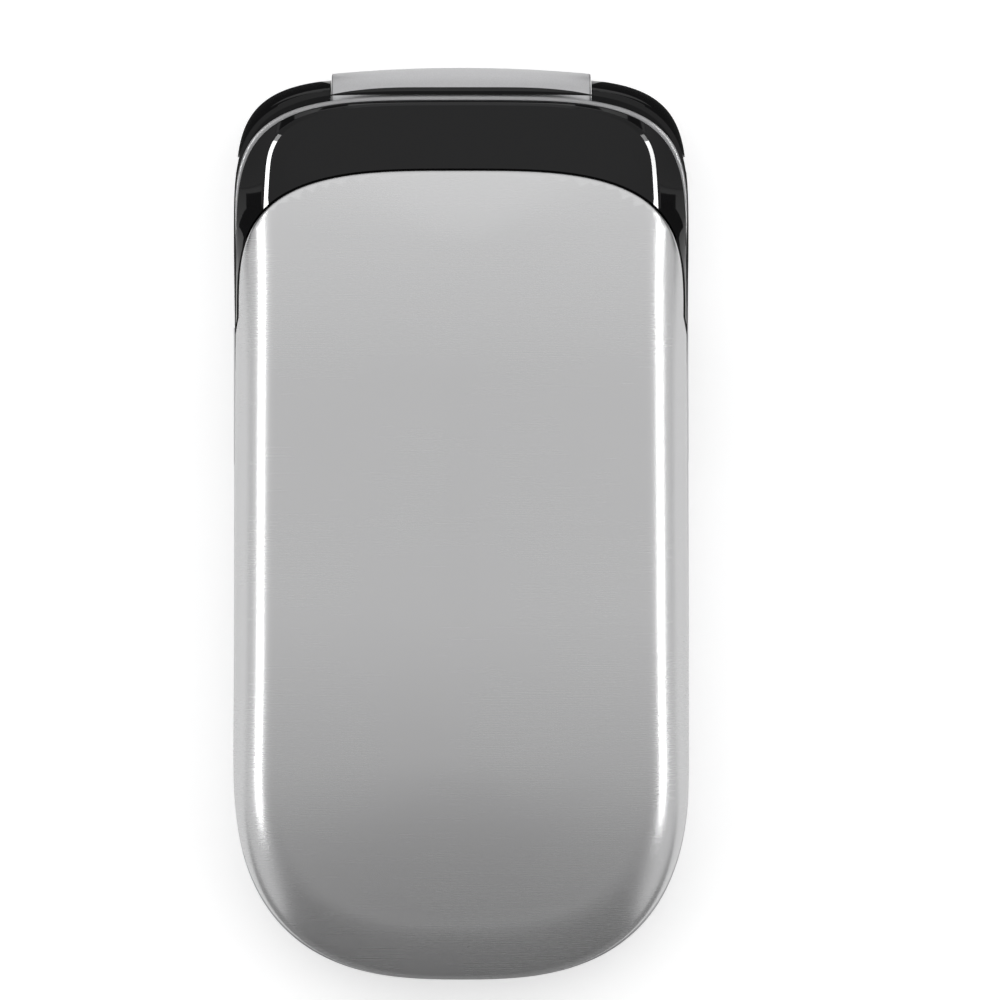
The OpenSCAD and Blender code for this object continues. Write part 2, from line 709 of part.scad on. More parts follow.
module inner_bezel() color("#1c1c1f") difference() {
    up_to(lid_room_y - 2 * seat_gap)
        slab(lid_plan(frame_edge + 2 * seat_gap, frame_edge + 2 * seat_gap, frame_edge, 1),
            bezel_z, bezel_z + bezel_t);
    rounded(window_w + 2 * seat_gap, window_l + 2 * seat_gap, 1.5, 0, top_z, 0, -display_low);
    rounded(slot_w, slot_l, slot_l / 2 - 0.01, 0, top_z, 0, earpiece_y);
    both_sides() for (p = lid_posts) {
        disc(screw_r + seat_gap, 0, top_z, p.x, p.y);
        disc(bumper_r + seat_gap, 0, bezel_z + screw_head_h + seat_gap, p.x, p.y);
    }
}

module display_window() color([0.75, 0.8, 0.85, 0.4])
    rounded(window_w, window_l, 1.5, bezel_z + bezel_t - window_t, bezel_z + bezel_t, 0, -display_low);

module display_module() color("#d8d8d2") difference() {
    rounded(window_w + 2 * module_border, window_l + 2 * module_border, 1, module_z, module_z + module_t,
        0, -display_low);
    block(window_w - 1 + 2 * seat_gap, window_l - 1 + 2 * seat_gap, 0, module_z + panel_t + seat_gap,
        0, -display_low);
}

module display_panel() color("#20242c")
    block(window_w - 1, window_l - 1, module_z, module_z + panel_t, 0, -display_low);

// The lid's board runs from the display's low edge to the hinge
lid_board_y0 = -display_low - window_l / 2 - module_border;
lid_board_y1 = lid_room_y - lid_board_gap;
module lid_board() color("darkgreen") difference() {
    rounded(window_w + 1, lid_board_y1 - lid_board_y0, 2, lid_board_z,
        lid_board_z + lid_board_t, 0, (lid_board_y0 + lid_board_y1) / 2);
    both_sides() disc(post_r + lift_gap, 0, top_z, lid_posts[1].x, lid_posts[1].y);
}

module earpiece() color("#b9bcc0")
    rounded(earpiece_w, earpiece_l, 1.5, module_z, module_z + earpiece_t, 0, earpiece_y);

module earpiece_mesh() color("#55585c")
    rounded(slot_w - 2 * seat_gap, slot_l - 2 * seat_gap, slot_l / 2 - 0.1, bezel_z + 0.3,
        bezel_z + bezel_t, 0, earpiece_y);

module lid_magnet() color("#8d9096")
    block(magnet_w, magnet_l, module_z, module_z + magnet_t, (earpiece_w + magnet_w) / 2 + magnet_gap, earpiece_y);

module lid_bumpers() color("#2a2a2c") both_sides() for (p = lid_posts)
    disc(bumper_r, base_h + seat_gap, bezel_z, p.x, p.y);

module lid_screws() color("#9a9da3") both_sides() for (p = lid_posts) {
    disc(screw_head_r, bezel_z + seat_gap, bezel_z + screw_head_h, p.x, p.y);
    disc(screw_r - seat_gap / 2, bezel_z + seat_gap, bezel_z + bezel_t + pilot_depth - 0.4, p.x, p.y);
}

// ---- hinge ----

cartridge_r = barrel_bore_r - seat_gap / 2;
cam_r = cartridge_r - cartridge_wall - run_gap;
cam_x = -barrel_x + 1 + run_gap;

module hinge_shaft() color("#8f9298") {
    on_hinge(shaft_r, -ear_x - ear_bore_depth + seat_gap, cam_x + 1.2);
    on_hinge(cam_r, cam_x, cam_x + 1.2);
}

module hinge_bush() color("#8f9298") difference() {
    on_hinge(bush_r, barrel_x - bush_depth, ear_x + ear_bore_depth - seat_gap);
    on_hinge(bush_bore_r, 0, half_w);
}

module hinge_cartridge() color("#a4a7ac") difference() {
    on_hinge(cartridge_r, -barrel_x, -barrel_x + cartridge_l);
    on_hinge(cartridge_r - cartridge_wall, -barrel_x + 1, -barrel_x + cartridge_l - 1);
    on_hinge(shaft_r + run_gap, -barrel_x - 1, -barrel_x + 2);
}

// A coil, swept along its helix
coil_edges = 6;
coil_turn = 10;
coil_x = cam_x + 1.2 + spring_wire;
coil_l = cartridge_l - 1 - spring_wire - barrel_x - coil_x;
coil_r = cartridge_r - cartridge_wall - spring_wire / 2 - 0.15;
function coil_point(i, j) =
    let (a = 360 * i / coil_turn, b = 360 * j / coil_edges, r = coil_r + spring_wire / 2 * cos(b))
    [coil_x + coil_l * i / (coil_turn * spring_turns) + spring_wire / 2 * sin(b), r * cos(a), r * sin(a)];

module hinge_spring() color("#c0c3c7") {
    n = coil_turn * spring_turns;
    translate([0, hinge_y, hinge_z]) polyhedron(
        points = [for (i = [0 : n], j = [0 : coil_edges - 1]) coil_point(i, j)],
        faces = concat([[for (j = [0 : coil_edges - 1]) j]],
            [for (i = [0 : n - 1], j = [0 : coil_edges - 1])
                let (a = i * coil_edges + j, b = i * coil_edges + (j + 1) % coil_edges,
                    c = b + coil_edges, d = a + coil_edges)
                each [[a, c, b], [a, d, c]]],
            [[for (j = [coil_edges - 1 : -1 : 0]) n * coil_edges + j]]));
}

module hinge_flex() color("#c98b3c") difference() {
    on_hinge(barrel_bore_r - 0.3, -1.5, barrel_x - bush_depth - 0.6);
    on_hinge(barrel_bore_r - 0.55, -2, barrel_x);
}

// ---- base ----

// The halves of the base are cut away round the lid's ears
module ear_room() both_sides() on_hinge(ear_r + swing_gap, barrel_x, half_w + 1);

// The barrel is a little fuller in its middle
module barrel_form(grow) translate([0, hinge_y, hinge_z]) rotate([0, 90, 0]) rotate_extrude()
    polygon(concat([[0, -barrel_x]],
        [for (i = [-4 : 4]) [barrel_r + grow - barrel_bow * pow(i / 4, 2), barrel_x * i / 4]],
        [[0, barrel_x]]));

module front_case() color("#c3c5c8") difference() {
    union() {
        difference() {
            intersection() {
                base_form();
                slab(base_plan(-1), case_line_z, base_h);
            }
            slab_under_face();
            ear_room();
        }
        barrel_form(0);
        // the screw posts stand on the tray
        intersection() {
            both_sides() for (p = base_posts) disc(post_r, tray_z + seat_gap, face_z + seat_gap, p.x, p.y);
            slab(base_plan(case_wall + seat_gap), 0, base_h);
        }
    }
    both_sides() for (p = base_posts) disc(screw_r, 0, face_z - 0.1, p.x, p.y);
    on_hinge(barrel_bore_r, -barrel_x - 1, barrel_x - bush_depth - 0.5);
    on_hinge(bush_r + run_gap, 0, barrel_x + 1);
    key_holes();
    disc(mic_hole_r, 0, far, 0, mic_y);
}

module slab_under_face() up_to(tray_top_y) slab(base_plan(case_wall), 0, face_z);

module key_holes() {
    for (i = [0 : 11]) rounded_key_hole(key_w, key_l, number_at(i));
    both_sides() {
        rounded_key_hole(side_key_w, side_key_l, soft_at);
        rounded_key_hole(side_key_w, side_key_l, call_at);
    }
    rounded_key_hole(clear_w, clear_l, clear_at);
    rounded(nav_w + 2 * key_gap, nav_l + 2 * key_gap, nav_corner, case_line_z - 1, far, nav_at.x, nav_at.y);
}
module rounded_key_hole(w, l, at)
    rounded(w + 2 * key_gap, l + 2 * key_gap, key_corner + key_gap, case_line_z - 1, far, at.x, at.y);

module rear_case() color("#bcbec1") difference() {
    intersection() {
        base_form();
        slab(base_plan(-1), 0, case_line_z);
    }
    ear_room();
    intersection() {
        barrel_form(seat_gap);
        block(barrel_w + 2 * seat_gap, 12, 0, far, 0, hinge_y);
    }
    // the tray for the board
    up_to(tray_top_y) slab(base_plan(case_wall), tray_z, far);
    // the recess for the battery cover, the bay and the window for the card
    back_cover_form(lift_gap, -1, recess_z);
    block(bay_w, bay_l, -1, bay_top_z);
    block(sim_w + 2 * sim_side, sim_l + sim_travel + 1, bay_top_z - 1, far, 0,
        sim_y + 0.4 - (sim_l + sim_travel + 1) / 2);
    low_pocket();
    high_pocket();
    both_sides() for (p = base_posts) screw_room(p);
    speaker_slots();
    rocker_room();
    socket_room();
    block(contacts_w + 0.6, 2 * contacts_room, battery_z + 0.5, bay_top_z, 0, bay_l / 2);
}

sim_side = 0.6;
sim_y = bay_l / 2 - sim_top;             // the seated card's upper edge

// The battery cover's outline, with round corners at its hinge end
module back_cover_form(grow, z0, z1) intersection() {
    slab(base_plan(back_cover_margin - grow), z0, z1);
    rounded(2 * (half_w - back_cover_margin + grow), phone_l, back_cover_corner + grow, z0, z1,
        0, back_cover_y + grow - half_l);
}

// The room behind the battery, for what hangs under the board there
module low_pocket() difference() {
    up_to(-bay_l / 2 - bay_wall) slab(base_plan(case_wall + pocket_wall), pocket_z, far);
    both_sides() disc(post_r + 0.4, 0, tray_z, base_posts[0].x, base_posts[0].y);
}

module high_pocket() block(2 * (speaker_left + speaker_w / 2 + half_play), speaker_l + 2 * half_play,
    speaker_floor, far, 0, speaker_y);

module screw_room(p) {
    disc(screw_r + seat_gap, 0, far, p.x, p.y);
    disc(screw_head_r + lift_gap, -1, screw_seat_z, p.x, p.y);
}

module speaker_slots() for (i = [0 : speaker_slots_n - 1])
    rounded(speaker_slot_w, speaker_slot_l, speaker_slot_w / 2 - 0.01, -1, speaker_floor + 1,
        (i - (speaker_slots_n - 1) / 2) * speaker_pitch - speaker_left, speaker_y);

rocker_room_t = rocker_flange + 1.4;
rocker_room_depth = rocker_bar + 0.1 + rocker_room_t / 2;
module rocker_room() {
    // a shallow scallop for the thumb, the slot, and the wider room behind it
    translate([-half_w - scallop_r + scallop_depth, side_y, side_z - scallop_h / 2])
        cylinder(r = scallop_r, h = scallop_h, $fn = 240);
    slot_h = rocker_h / 2 + lift_gap;
    block(2 * rocker_bar, rocker_l + 2 * lift_gap, side_z - slot_h, side_z + slot_h, -half_w, side_y);
    block(rocker_room_t, rocker_l + 2, side_z - slot_h - rocker_flange, side_z + slot_h + rocker_flange,
        -half_w + rocker_room_depth - rocker_room_t / 2, side_y);
}

module volume_rocker() color("#8b8e92") {
    block(rocker_bar, rocker_l, side_z - rocker_h / 2, side_z + rocker_h / 2,
        -half_w + rocker_bar / 2 + seat_gap, side_y);
    block(rocker_flange, rocker_l + 1.2, side_z - rocker_h / 2 - 0.4, side_z + rocker_h / 2 + 0.4,
        -half_w + rocker_bar - rocker_flange / 2 + seat_gap, side_y);
}

port_x = half_w - port_cover_t - 0.1;
port_hinge_y = side_y - port_cover_l / 2;

module socket_room() {
    block(2 * (socket_setback + socket_depth + seat_gap), socket_l + 2 * seat_gap,
        side_z - socket_h / 2 - seat_gap, side_z + socket_h / 2 + seat_gap, half_w, side_y);
    block(4, port_cover_l + 0.8, side_z - port_cover_h / 2 - 0.15, side_z + port_cover_h / 2 + 0.15,
        port_x - 0.1 + 2, side_y - 0.2);
}

module charging_socket() color("#b4b7bb") difference() {
    x = half_w - socket_setback - socket_depth / 2;
    block(socket_depth, socket_l, side_z - socket_h / 2, side_z + socket_h / 2, x, side_y);
    block(socket_depth, socket_l - 2 * socket_wall, side_z - socket_h / 2 + socket_wall,
        side_z + socket_h / 2 - socket_wall, x + socket_wall, side_y);
}

module port_cover() color("#9b9ea2") {
    translate([port_x, port_hinge_y, side_z - port_cover_h / 2])
        cube([port_cover_t, port_cover_l, port_cover_h]);
    translate([port_x + port_cover_t / 2, port_hinge_y, side_z - port_cover_h / 2])
        cylinder(r = port_cover_t / 2, h = port_cover_h);
    block(port_plug_t, port_plug_l, side_z - socket_h / 2 + socket_wall + 0.3,
        side_z + socket_h / 2 - socket_wall - 0.3, port_x - 0.3, side_y);
}

module battery_cover() color("#b8babd") difference() {
    back_cover_form(0, back_recess, back_recess + back_cover_t);
    for (i = [0 : grip_count - 1]) translate([-grip_w / 2, back_cover_y - 4 - grip_pitch * i, back_recess])
        rotate([0, 90, 0]) cylinder(r = grip_depth, h = grip_w);
}

module battery() color("#3a3d42") difference() {
    rounded(battery_w, battery_l, 1, battery_z, battery_z + battery_t);
    for (i = [-1 : 1]) block(contact_w + 0.6, 1, battery_z + 0.8, far, i * contact_pitch, battery_l / 2);
}

// A carrier in the bay's end wall, with three contacts that press on the battery
module battery_contacts() color("#caa53d") {
    block(contacts_w, contacts_t, battery_z + 0.6, bay_top_z - 0.1, 0, bay_l / 2 + 0.25 + contacts_t / 2);
    for (i = [-1 : 1])
        block(contact_w, 0.6, battery_z + 1.2, battery_z + 2.6, i * contact_pitch, bay_l / 2 - 0.05);
}

sim_z = board_z - seat_gap - sim_t;
module sim_card() color("#e3b64a") translate([0, sim_y - sim_l / 2, sim_z]) linear_extrude(sim_t)
    polygon([[-sim_w / 2, -sim_l / 2], [sim_w / 2, -sim_l / 2], [sim_w / 2, sim_l / 2],
        [-sim_w / 2 + 2.5, sim_l / 2], [-sim_w / 2, sim_l / 2 - 2.5]]);

// A folded sheet: a plate under the card, with its sides turned up beside it
module sim_holder() color("#c9ccd0") difference() {
    block(sim_w + 2 * sim_side - 2 * seat_gap, sim_holder_l, sim_z - seat_gap - sim_sheet, board_z - seat_gap,
        0, sim_y + 0.3 - sim_holder_l / 2);
    block(sim_w + 2 * sim_side - 2 * seat_gap - 2 * sim_sheet, sim_holder_l + 1, sim_z - seat_gap, far,
        0, sim_y + 0.3 - sim_holder_l / 2);
}

module main_board() color("darkgreen") difference() {
    up_to(tray_top_y - lift_gap) slab(base_plan(case_wall + lift_gap), board_z, board_z + board_t);
    both_sides() for (p = base_posts) disc(post_r + lift_gap, 0, far, p.x, p.y);
    // notches for the socket and for the rocker's flange, which stand higher than the board's underside
    block(2 * (socket_setback + socket_depth + lift_gap), socket_l + 2 * lift_gap, 0, far, half_w, side_y);
    block(2 * (rocker_room_depth + seat_gap), rocker_l + 2 + 2 * seat_gap, 0, far, -half_w, side_y);
}

module shield_cans() color("#c9ccd0") {
    block(shield_w, shield_l, board_z - shield_h, board_z - seat_gap / 2, shield_right, speaker_y);
    block(shield_w, shield_l, board_z - shield_h, board_z - seat_gap / 2, -shield_left, motor_y);
}

// The sheet runs from the lowest row of numbers to the top of the ring, with a dome under each pin
module dome_sheet() color("#d9dbdd") {
    y0 = number_at(9).y - key_l / 2;
    y1 = nav_at.y + nav_l / 2;
    rounded(2 * key_pitch_x + key_w, y1 - y0, 3, sheet_z, sheet_z + dome_sheet_t, 0, (y0 + y1) / 2);
    for (p = concat(key_places(), nav_pins())) translate([p.x, p.y, sheet_z])
        cylinder(r1 = dome_r, r2 = dome_r - 0.6, h = dome_sheet_t + dome_h);
}
function number_at(i) = [(i % 3 - 1) * key_pitch_x, pad_y - floor(i / 3) * key_pitch_y];
function key_places() = concat([for (i = [0 : 11]) number_at(i)],
    [for (p = [soft_at, call_at], m = [-1, 1]) [m * p.x, p.y]], [clear_at, nav_at]);
function nav_pins() = [for (m = [-1, 1], v = [[nav_side, 0], [0, nav_end]]) nav_at + m * v];

module microphone() color("#c7cacd") disc(mic_r, board_z + board_t + seat_gap, face_z - seat_gap, 0, mic_y);

module loudspeaker() color("#2f3134")
    rounded(speaker_w, speaker_l, 1, speaker_floor + seat_gap, speaker_floor + speaker_t, -speaker_left,
        speaker_y);

module along_motor(r, x0, x1) translate([x0, motor_y, motor_z]) rotate([0, 90, 0]) cylinder(r = r, h = x1 - x0);
module vibration_motor() color("#b7babd") {
    along_motor(motor_r, motor_left, motor_left + motor_l);
    along_motor(motor_shaft_r, motor_left, weight_x + weight_l + 0.4);
}
weight_x = motor_left + motor_l + 0.3;
// The weight is cut off above its shaft, so that it turns out of balance
module motor_weight() color("#6f7276") difference() {
    along_motor(motor_r - weight_less, weight_x, weight_x + weight_l);
    along_motor(motor_shaft_r + run_gap, 0, far);
    block(far, 2 * motor_r, motor_z + motor_shaft_r + 0.3, far, 0, motor_y);
}

module antenna() color("#3b3d40") intersection() {
    slab(base_plan(case_wall + pocket_wall + lift_gap), pocket_z + seat_gap, tray_z - 0.3);
    block(antenna_w, antenna_l, 0, far, 0, -half_l + case_wall + pocket_wall + lift_gap + antenna_l / 2);
}

module base_screws() color("#9a9da3") both_sides() for (p = base_posts) {
    disc(screw_head_r, screw_seat_z - screw_head_h, screw_seat_z - seat_gap, p.x, p.y);
    disc(screw_r - seat_gap / 2, screw_seat_z - screw_head_h, face_z - 0.3, p.x, p.y);
}

// ---- keys ----

// A cap that shows, a lip that holds it under the face, and a pin that presses its dome
module key(w, l, at) {
    r = key_corner;
    disc(key_pin_r, pin_z, lip_z, at.x, at.y);
    rounded(w + 2 * key_lip, l + 2 * key_lip, r + key_lip, lip_z, lip_z + key_lip_t, at.x, at.y);
    rounded(w, l, r, lip_z, key_top_z - 0.15, at.x, at.y);
    rounded(w - 0.3, l - 0.3, r - 0.15, lip_z, key_top_z, at.x, at.y);
}
module number_key(i) color("#d5d7da") key(key_w, key_l, number_at(i));
module soft_key_left() color("#c9ccd0") key(side_key_w, side_key_l, [-soft_at.x, soft_at.y]);
module soft_key_right() color("#c9ccd0") key(side_key_w, side_key_l, soft_at);
module send_key() color("#c9ccd0") key(side_key_w, side_key_l, [-call_at.x, call_at.y]);
module end_key() color("#c9ccd0") key(side_key_w, side_key_l, call_at);
module clear_key() color("#c9ccd0") key(clear_w, clear_l, clear_at);

// The ring's lip is thinner than the keys', to leave room for its tilt; the select key's flange is under it
nav_tilt_room = 0.15;
module nav_ring() color("#b2b5b9") difference() {
    union() {
        rounded(nav_w + 2 * key_lip, nav_l + 2 * key_lip, nav_corner, lip_z, lip_z + key_lip_t - nav_tilt_room,
            nav_at.x, nav_at.y);
        rounded(nav_w, nav_l, nav_corner - key_gap, lip_z, key_top_z - 0.15, nav_at.x, nav_at.y);
        rounded(nav_w - 0.3, nav_l - 0.3, nav_corner - key_gap, lip_z, key_top_z, nav_at.x, nav_at.y);
        for (p = nav_pins()) disc(key_pin_r, pin_z, lip_z, p.x, p.y);
    }
    disc(select_r + key_gap, 0, far, nav_at.x, nav_at.y);
    disc(select_r + key_lip + key_gap, 0, lip_z + 2 * key_lip_t, nav_at.x, nav_at.y);
}

module select_key() color("#d5d7da") {
    disc(key_pin_r, pin_z, lip_z, nav_at.x, nav_at.y);
    disc(select_r + key_lip, lip_z, lip_z + key_lip_t, nav_at.x, nav_at.y);
    disc(select_r, lip_z, key_top_z, nav_at.x, nav_at.y);
}

lid_cover();
lid_frame();
inner_bezel();
display_window();
display_module();
display_panel();
lid_board();
earpiece();
earpiece_mesh();
lid_magnet();
lid_bumpers();
lid_screws();
hinge_shaft();
hinge_bush();
hinge_cartridge();
hinge_spring();
hinge_flex();
front_case();
rear_case();
battery_cover();
battery();
battery_contacts();
sim_card();
sim_holder();
main_board();
shield_cans();
dome_sheet();
microphone();
loudspeaker();
vibration_motor();
motor_weight();
antenna();
charging_socket();
port_cover();
volume_rocker();
base_screws();
for (i = [0 : 11]) number_key(i);
soft_key_left();
soft_key_right();
send_key();
end_key();
clear_key();
nav_ring();
select_key();
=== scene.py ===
# %% [markdown]
# # A clamshell phone with a silver lid
# This notebook dresses a small folding phone. The working parts, their joints and every place where one
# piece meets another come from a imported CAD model, which stays where it is. Blender adds what the eye
# sees: finer curves, softened edges, keys with their signs, and finishes with grain and wear.
# Lengths are written in millimetres and turned to metres when a mesh is made.

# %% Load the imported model
import json
import math
from contextlib import contextmanager

import bmesh
import bpy
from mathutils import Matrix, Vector


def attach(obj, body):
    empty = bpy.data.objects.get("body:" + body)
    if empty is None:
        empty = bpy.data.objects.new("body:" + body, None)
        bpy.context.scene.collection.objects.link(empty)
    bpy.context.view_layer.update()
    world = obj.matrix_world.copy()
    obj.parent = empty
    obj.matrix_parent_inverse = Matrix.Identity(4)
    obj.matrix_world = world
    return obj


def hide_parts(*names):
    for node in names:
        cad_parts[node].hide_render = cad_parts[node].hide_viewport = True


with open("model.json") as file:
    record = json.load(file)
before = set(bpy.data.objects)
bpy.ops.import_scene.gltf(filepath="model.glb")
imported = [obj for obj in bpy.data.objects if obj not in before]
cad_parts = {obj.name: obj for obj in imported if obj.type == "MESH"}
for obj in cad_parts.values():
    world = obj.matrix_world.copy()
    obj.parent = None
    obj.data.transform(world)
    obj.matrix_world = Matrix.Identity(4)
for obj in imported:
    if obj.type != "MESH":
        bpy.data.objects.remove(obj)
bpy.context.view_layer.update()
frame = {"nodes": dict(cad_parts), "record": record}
MM = 0.001

# %% [markdown]
# ## Formulas that work on numbers and on node fields
# The shells of a moulded phone follow smooth rules: superellipse ends, rolled edges, a crown. The same
# rule is needed in Geometry Nodes, where it bends a grid, and in Python, where it finds the height of an
# edge. A small class lets one formula do both: it adds a Math node wherever a plain number would be
# added, so the tree reads like the formula.

# %% Fields that are written like numbers
class Field:
    """A value in a node tree that can stand in a formula."""

    def __init__(self, tree, socket):
        self.tree, self.socket = tree, socket


for word, operation in (("add", "ADD"), ("sub", "SUBTRACT"), ("mul", "MULTIPLY"), ("truediv", "DIVIDE")):
    setattr(Field, f"__{word}__", lambda self, other, o=operation: compute(self.tree, o, self, other))
    setattr(Field, f"__r{word}__", lambda self, other, o=operation: compute(self.tree, o, other, self))


def feed(tree, slot, value):
    """Gives a node's input a field, or sets it to a plain value."""
    if isinstance(value, Field):
        tree.links.new(value.socket, slot)
    else:
        slot.default_value = value


def compute(tree, operation, *values):
    node = tree.nodes.new("ShaderNodeMath")
    node.operation = operation
    for slot, value in zip(node.inputs, values):
        feed(tree, slot, value)
    return Field(tree, node.outputs[0])


def either(operation, plain):
    """A function for fields and for plain numbers."""
    def run(*values):
        tree = next((v.tree for v in values if isinstance(v, Field)), None)
        return compute(tree, operation, *values) if tree else plain(*values)
    return run


sin = either("SINE", math.sin)
cos = either("COSINE", math.cos)
power = either("POWER", pow)
size = either("ABSOLUTE", abs)
sign = either("SIGN", lambda v: (v > 0) - (v < 0))
lesser = either("MINIMUM", min)
greater = either("MAXIMUM", max)
above = either("GREATER_THAN", lambda a, b: float(a > b))
floor = either("FLOOR", math.floor)
RIGHT_ANGLE = math.pi / 2


def clamp(v):
    return lesser(greater(v, 0), 1)


def mix(a, b, share):
    return a + (b - a) * share


def signed_power(v, p):
    return sign(v) * power(size(v), p)


print("half-way up a smooth ramp:", mix(2.0, 4.0, clamp(0.5)))

# %% [markdown]
# ## The phone's outline
# Seen from above, both halves of the phone are the same kind of curve: a superellipse round each end and
# nearly straight sides. It could be drawn by hand with a curve, but a rule keeps the two halves in step
# and lets each ring of a shell be drawn in by its own amount.

# %% The outline's rule
HALF_W, HALF_L = 23.1, 46.0
HINGE_Y, HINGE_Z = 41.4, 10.0
BASE_TOP, LID_Z = 9.8, 10.2
LOW_Y, HIGH_Y, CAP_Y = -23.0, 28.0, 27.1    # the centres that the ends reach out from
BASE_LOW, BASE_HIGH = (23.0, 2.73), (17.2, 4.8)    # reach and squareness of each end
LID_LOW, CAP = (22.7, 2.64), (16.0, 3.9)
HINGE_W, LID_HINGE_W, LID_LOW_W = HALF_W - 0.15, HALF_W - 0.5, HALF_W - 0.2    # half widths where ends start
END_STEPS, SIDE_STEPS = 96, 35
ROUND = 2 * (END_STEPS + SIDE_STEPS + 1)


def end_point(angle, half, middle, reach, squareness):
    """A point on one end of an outline."""
    return (half * signed_power(cos(angle), 2 / squareness),
            middle + reach * signed_power(sin(angle), 2 / squareness))


def outline_point(i, high, low):
    """The i-th point round an outline, anticlockwise from the right of its hinge end."""
    last = 2 * END_STEPS + SIDE_STEPS + 1
    high_turn = math.pi * clamp(i / END_STEPS) * (1 - above(i, last + 0.5))
    low_turn = math.pi * (1 + clamp((i - END_STEPS - SIDE_STEPS - 1) / END_STEPS))
    share = clamp((i - END_STEPS) / (SIDE_STEPS + 1)) - clamp((i - last) / (SIDE_STEPS + 1))
    return [mix(a, b, share) for a, b in zip(end_point(high_turn, *high), end_point(low_turn, *low))]


def base_ends(inset, s=1):
    """The base's two ends, drawn in by an inset and scaled by s."""
    return ((s * (HINGE_W - inset), HIGH_Y, s * (BASE_HIGH[0] - inset), BASE_HIGH[1]),
            (s * (HALF_W - inset), LOW_Y, s * (BASE_LOW[0] - inset), BASE_LOW[1]))


def lid_ends(side, low, high, s=1):
    """The lid's two ends, drawn in by its own amount at the sides, the low end and the hinge end."""
    return ((s * (LID_HINGE_W - side), CAP_Y, s * (CAP[0] - high), CAP[1]),
            (s * (LID_LOW_W - side), LOW_Y, s * (LID_LOW[0] - low), LID_LOW[1]))


def plan(ends):
    return [outline_point(i, *ends) for i in range(ROUND)]


print("outline of", ROUND, "points,", round(2 * max(p[0] for p in plan(base_ends(0))), 2), "mm across")

# %% [markdown]
# ## Geometry Nodes forms
# A moulded shell's outside is one closed sheet: rings that follow the outline and climb from the rim over
# a rolled edge to the crown. A grid is bent into it, one column for each point round the outline and one
# row for each ring, and the seams are merged. The tree has named sizes, so the outer wall and the inner
# wall of a shell are the same tree with other numbers.

# %% Helpers that build a tree and turn its result into a plain mesh
scene = bpy.context.scene


def new_tree(name, others=(), **sizes):
    """An empty tree with sizes and other (label, socket type) inputs; gives the tree and a field for each."""
    tree = bpy.data.node_groups.new(name, "GeometryNodeTree")
    tree.interface.new_socket("Geometry", in_out="OUTPUT", socket_type="NodeSocketGeometry")
    for label, kind in others:
        tree.interface.new_socket(label, in_out="INPUT", socket_type=kind)
    for label, value in sizes.items():
        tree.interface.new_socket(label, in_out="INPUT", socket_type="NodeSocketFloat").default_value = value
    tree.interface.new_socket("finish", in_out="INPUT", socket_type="NodeSocketMaterial")
    given = tree.nodes.new("NodeGroupInput")
    return tree, {s.name: Field(tree, s) for s in given.outputs if s.name}


def add_node(tree, kind, settings=None, **inputs):
    """A node with its inputs set or linked; input names are written with _ for a space."""
    node = tree.nodes.new(kind)
    for key, value in (settings or {}).items():
        setattr(node, key, value)
    for label, value in inputs.items():
        slot = node.inputs[label.replace("_", " ")]
        if isinstance(value, bpy.types.NodeSocket):
            tree.links.new(value, slot)
        else:
            feed(tree, slot, value)
    return node


def close_tree(tree, given, mesh):
    """Ends a tree: instances made real, and the finish set."""
    real = add_node(tree, "GeometryNodeRealizeInstances", Geometry=mesh)
    painted = add_node(tree, "GeometryNodeSetMaterial", Geometry=real.outputs[0], Material=given["finish"])
    tree.links.new(painted.outputs[0], tree.nodes.new("NodeGroupOutput").inputs[0])
    return tree


def point_of(tree, x, y, z):
    """A vector field in metres from three in millimetres."""
    return add_node(tree, "ShaderNodeCombineXYZ", X=x * MM, Y=y * MM, Z=z * MM).outputs[0]


def bend_grid(tree, given, columns, rows, place):
    """Bends a grid into a closed form; place(column, row) gives a point in millimetres."""
    grid = add_node(tree, "GeometryNodeMeshGrid", Vertices_X=columns, Vertices_Y=rows)
    index = Field(tree, tree.nodes.new("GeometryNodeInputIndex").outputs[0])
    column = floor((index + 0.5) / rows)
    spot = point_of(tree, *place(column, index - column * rows))
    bent = add_node(tree, "GeometryNodeSetPosition", Geometry=grid.outputs["Mesh"], Position=spot)
    merged = add_node(tree, "GeometryNodeMergeByDistance", Geometry=bent.outputs[0], Distance=2e-7)
    return close_tree(tree, given, merged.outputs[0])


def new_object(name, mesh):
    obj = bpy.data.objects.new(name, mesh)
    scene.collection.objects.link(obj)
    return obj


@contextmanager
def opened(mesh):
    """Opens a mesh for edits, and writes them back."""
    work = bmesh.new()
    work.from_mesh(mesh)
    yield work
    work.to_mesh(mesh)
    work.free()


def settle(obj):
    """Makes what the modifiers give the object's own mesh, with its faces pointing outwards."""
    made = bpy.data.meshes.new_from_object(obj.evaluated_get(bpy.context.evaluated_depsgraph_get()))
    obj.modifiers.clear()
    obj.data = made
    with opened(made) as work:
        bmesh.ops.remove_doubles(work, verts=work.verts, dist=1e-7)
        bmesh.ops.recalc_face_normals(work, faces=work.faces)
    return obj


def grow(name, tree, finish=None, start=None, **sizes):
    """An object whose mesh the tree makes from these sizes, and from the start mesh if it works on one."""
    obj = new_object(name, start or bpy.data.meshes.new(name))
    made_by = obj.modifiers.new("form", "NODES")
    made_by.node_group = tree
    sockets = {s.name: s.identifier for s in tree.interface.items_tree if s.in_out == "INPUT"}
    made_by[sockets["finish"]] = finish
    for label, value in sizes.items():
        made_by[sockets[label]] = value if isinstance(value, (str, bpy.types.ID)) else float(value)
    return settle(obj)


print("helpers ready in Blender", bpy.app.version_string)

# %% [markdown]
# ## The forms of the lid and the base
# The lid's upright rim rises towards the hinge, its edge rolls over and its top is crowned and falls
# away to both ends. The base rolls up from a flat back to its waist. Each is a rule for one point, given
# its place round the outline and its ring.

